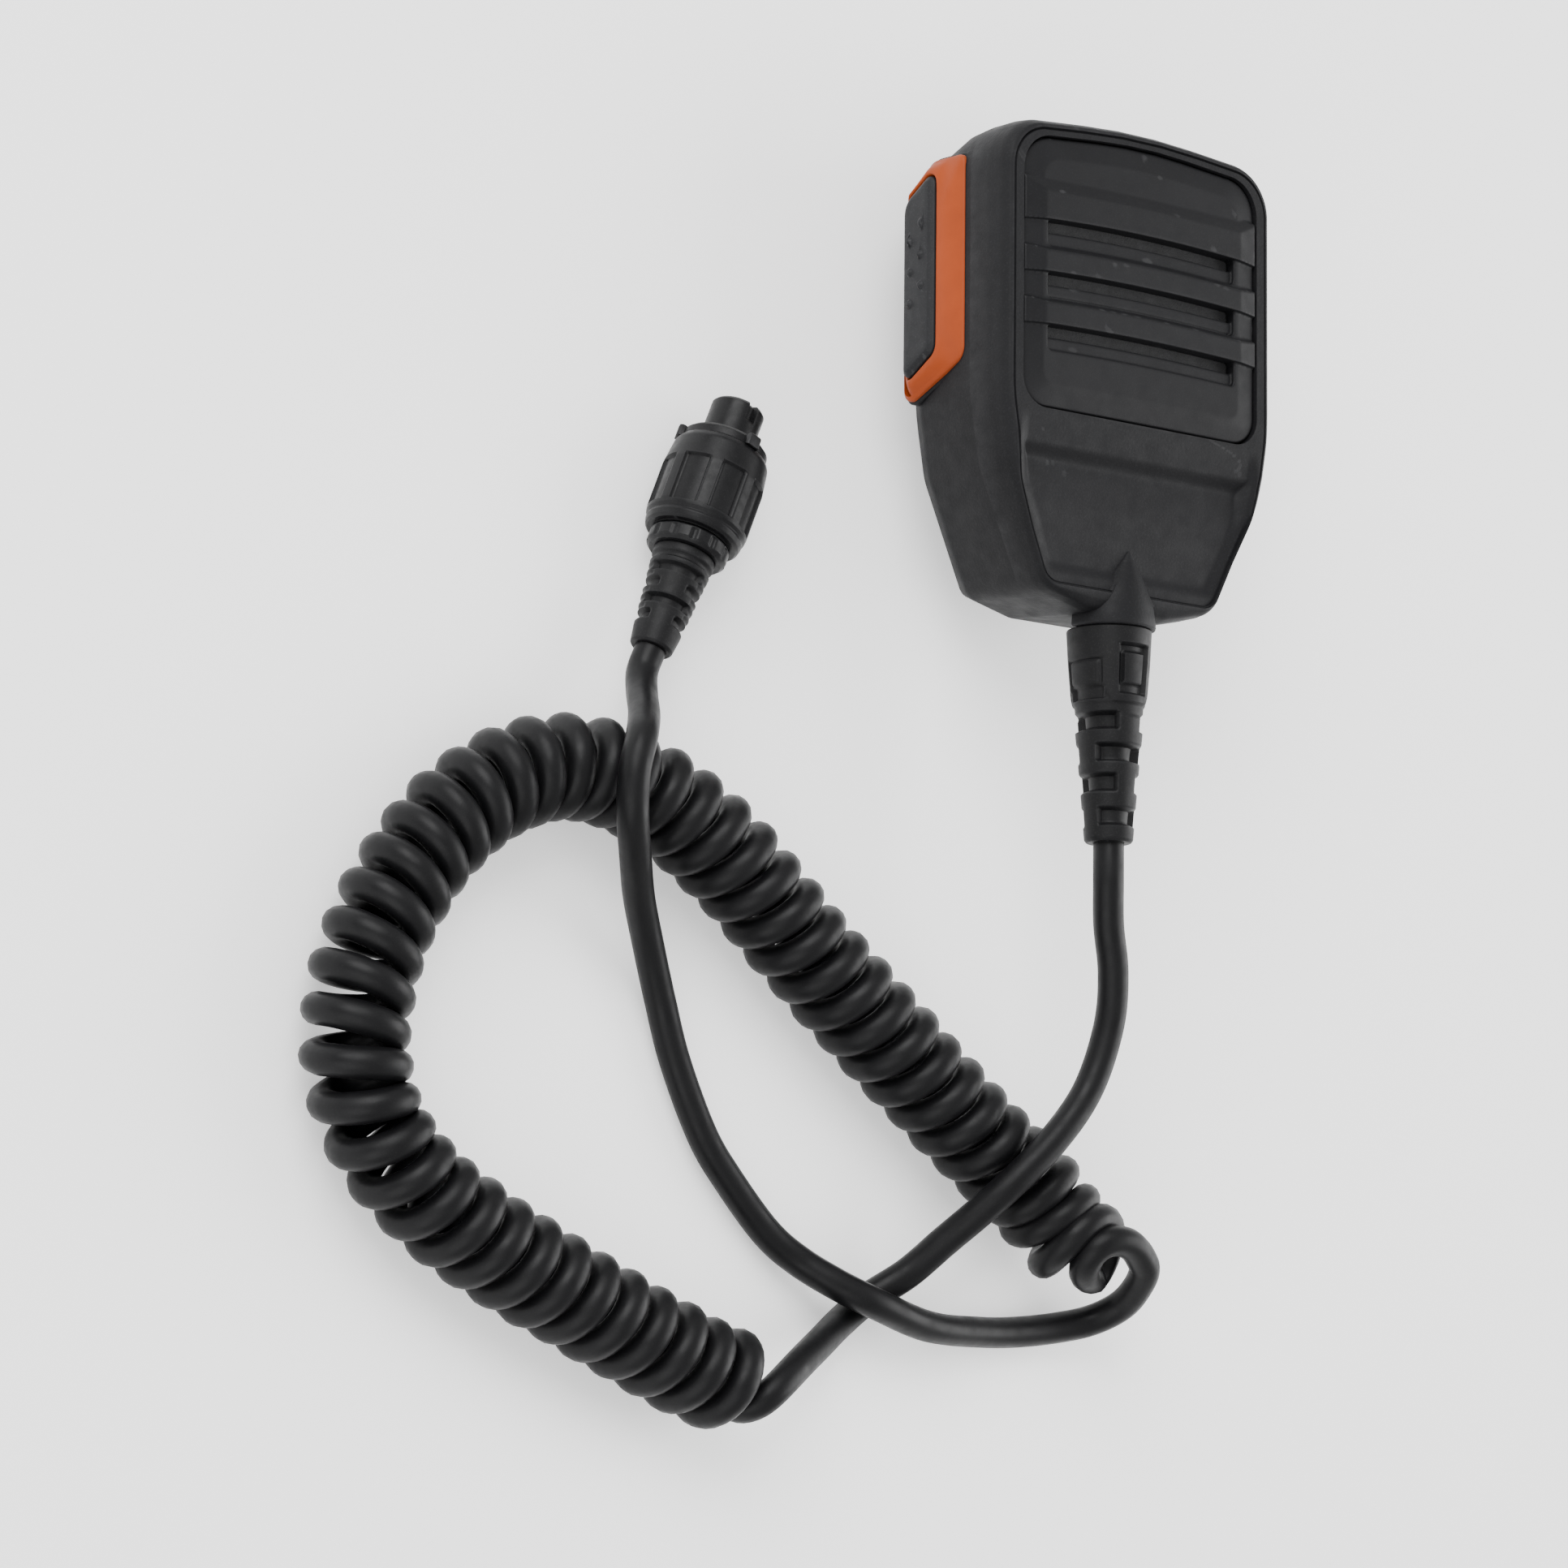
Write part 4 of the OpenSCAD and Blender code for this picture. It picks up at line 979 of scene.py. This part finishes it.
def coupling_sleeve(paints):
    profile = [[21.7, 6.95, 0], [21.7, 7.9, 0.2], [22.1, 8.35, 0.3], [23.0, 8.6, 0.3], [23.5, 8.45, 0.2],
               [24.1, 8.85, 0.3], [25, 9.0, 1], [33.4, 9.0, 2.5], [37.9, 8.45, 1.5], [38.7, 8.0, 0.4],
               [39.0, 7.6, 0.2], [40.4, 7.6, 0.2], [40.4, 6.95, 0], [36.2, 6.95, 0], [36.0, 7.75, 0.1],
               [34.4, 7.75, 0.1], [34.2, 6.95, 0]]
    line = dense(rounded(profile, is_closed=True, arc=15), 0.2)
    line.append(line[0])
    line = dense(line, 0.4)[:-1]
    sleeve = tube("turning_sleeve", line, on_plug, 240, sleeve_relief, skip=8.5)
    for turn in (30, 150, 270):
        cut(sleeve, lug_shape(turn), operation="UNION")
    return settle(sleeve, "sleeve", "plug_plastic", paints, "coupling_sleeve", sharp=40)


def lug_shape(turn):
    """Rounded block on the sleeve's rim, turned about the plug's axis."""
    sin, cos = math.sin(math.radians(turn)), math.cos(math.radians(turn))
    corners = [[7.1, -1.4, 0.2], [8.6, -1.3, 0.5], [8.6, 1.3, 0.5], [7.1, 1.4, 0.2]]
    rings = [[on_plug(x * cos - y * sin, x * sin + y * cos, s) for x, y in rounded(inset(corners, d), arc=15)]
             for d, s in ((0, 38.8), (0, 40.6), (0.1, 40.85), (0.3, 41.0))]
    return skin("lug", rings)


def nose_relief(s, angle):
    """Keyway and two narrow slots in the front of the nose."""
    front = near(s, 47, 2.2, 0.2)
    deep = 0.9 * near(turn_gap(angle, 270), 0, 10.5, 1.5) * front
    for facing in (30, 150):
        deep = max(deep, 0.7 * near(turn_gap(angle, facing), 0, 5.5, 1.5) * front)
    return deep


def plug_shell(paints):
    profile = [[20.7, 0.01, 0], [20.7, 4.35, 0], [21.5, 4.35, 0], [21.5, 6.9, 0], [34.6, 6.9, 0],
               [34.6, 6.2, 0], [35.8, 6.2, 0], [35.8, 6.9, 0], [38, 6.9, 0.1], [38.4, 6.4, 0.1],
               [41, 6.4, 0.2], [41.3, 6.1, 0.1], [41.3, 4.7, 0.15], [47.4, 4.7, 0.1], [48, 4.2, 0.3],
               [48, 3.75, 0.1], [41.8, 3.75, 0], [41.8, 0.01, 0]]
    line = dense(rounded(profile, is_closed=False, arc=15), 0.25)
    shell = turned("plug_nose", line, on_plug, around=180, relief=nose_relief)
    return settle(shell, "casing", "plug_plastic", paints, "plug_shell", sharp=45)


# ---------- Making it all ----------

place_camera()
finishes = make_paints()
paint_frame(finishes)
PLUG_PIECES = [plug_boot(finishes), plug_collar(finishes), coupling_sleeve(finishes), plug_shell(finishes)]
PLUG_PIECES += [frame["nodes"][name] for name in ("sleeve_ring", "plug_seal", "plug_insert", "contact_pins")]
make_cord(finishes["cord_jacket"])
make_studio()
front_shell(finishes)
rear_shell(finishes)
grille_panel(finishes)
ptt_bezel(finishes)
ptt_button(finishes)
cord_boot(finishes)
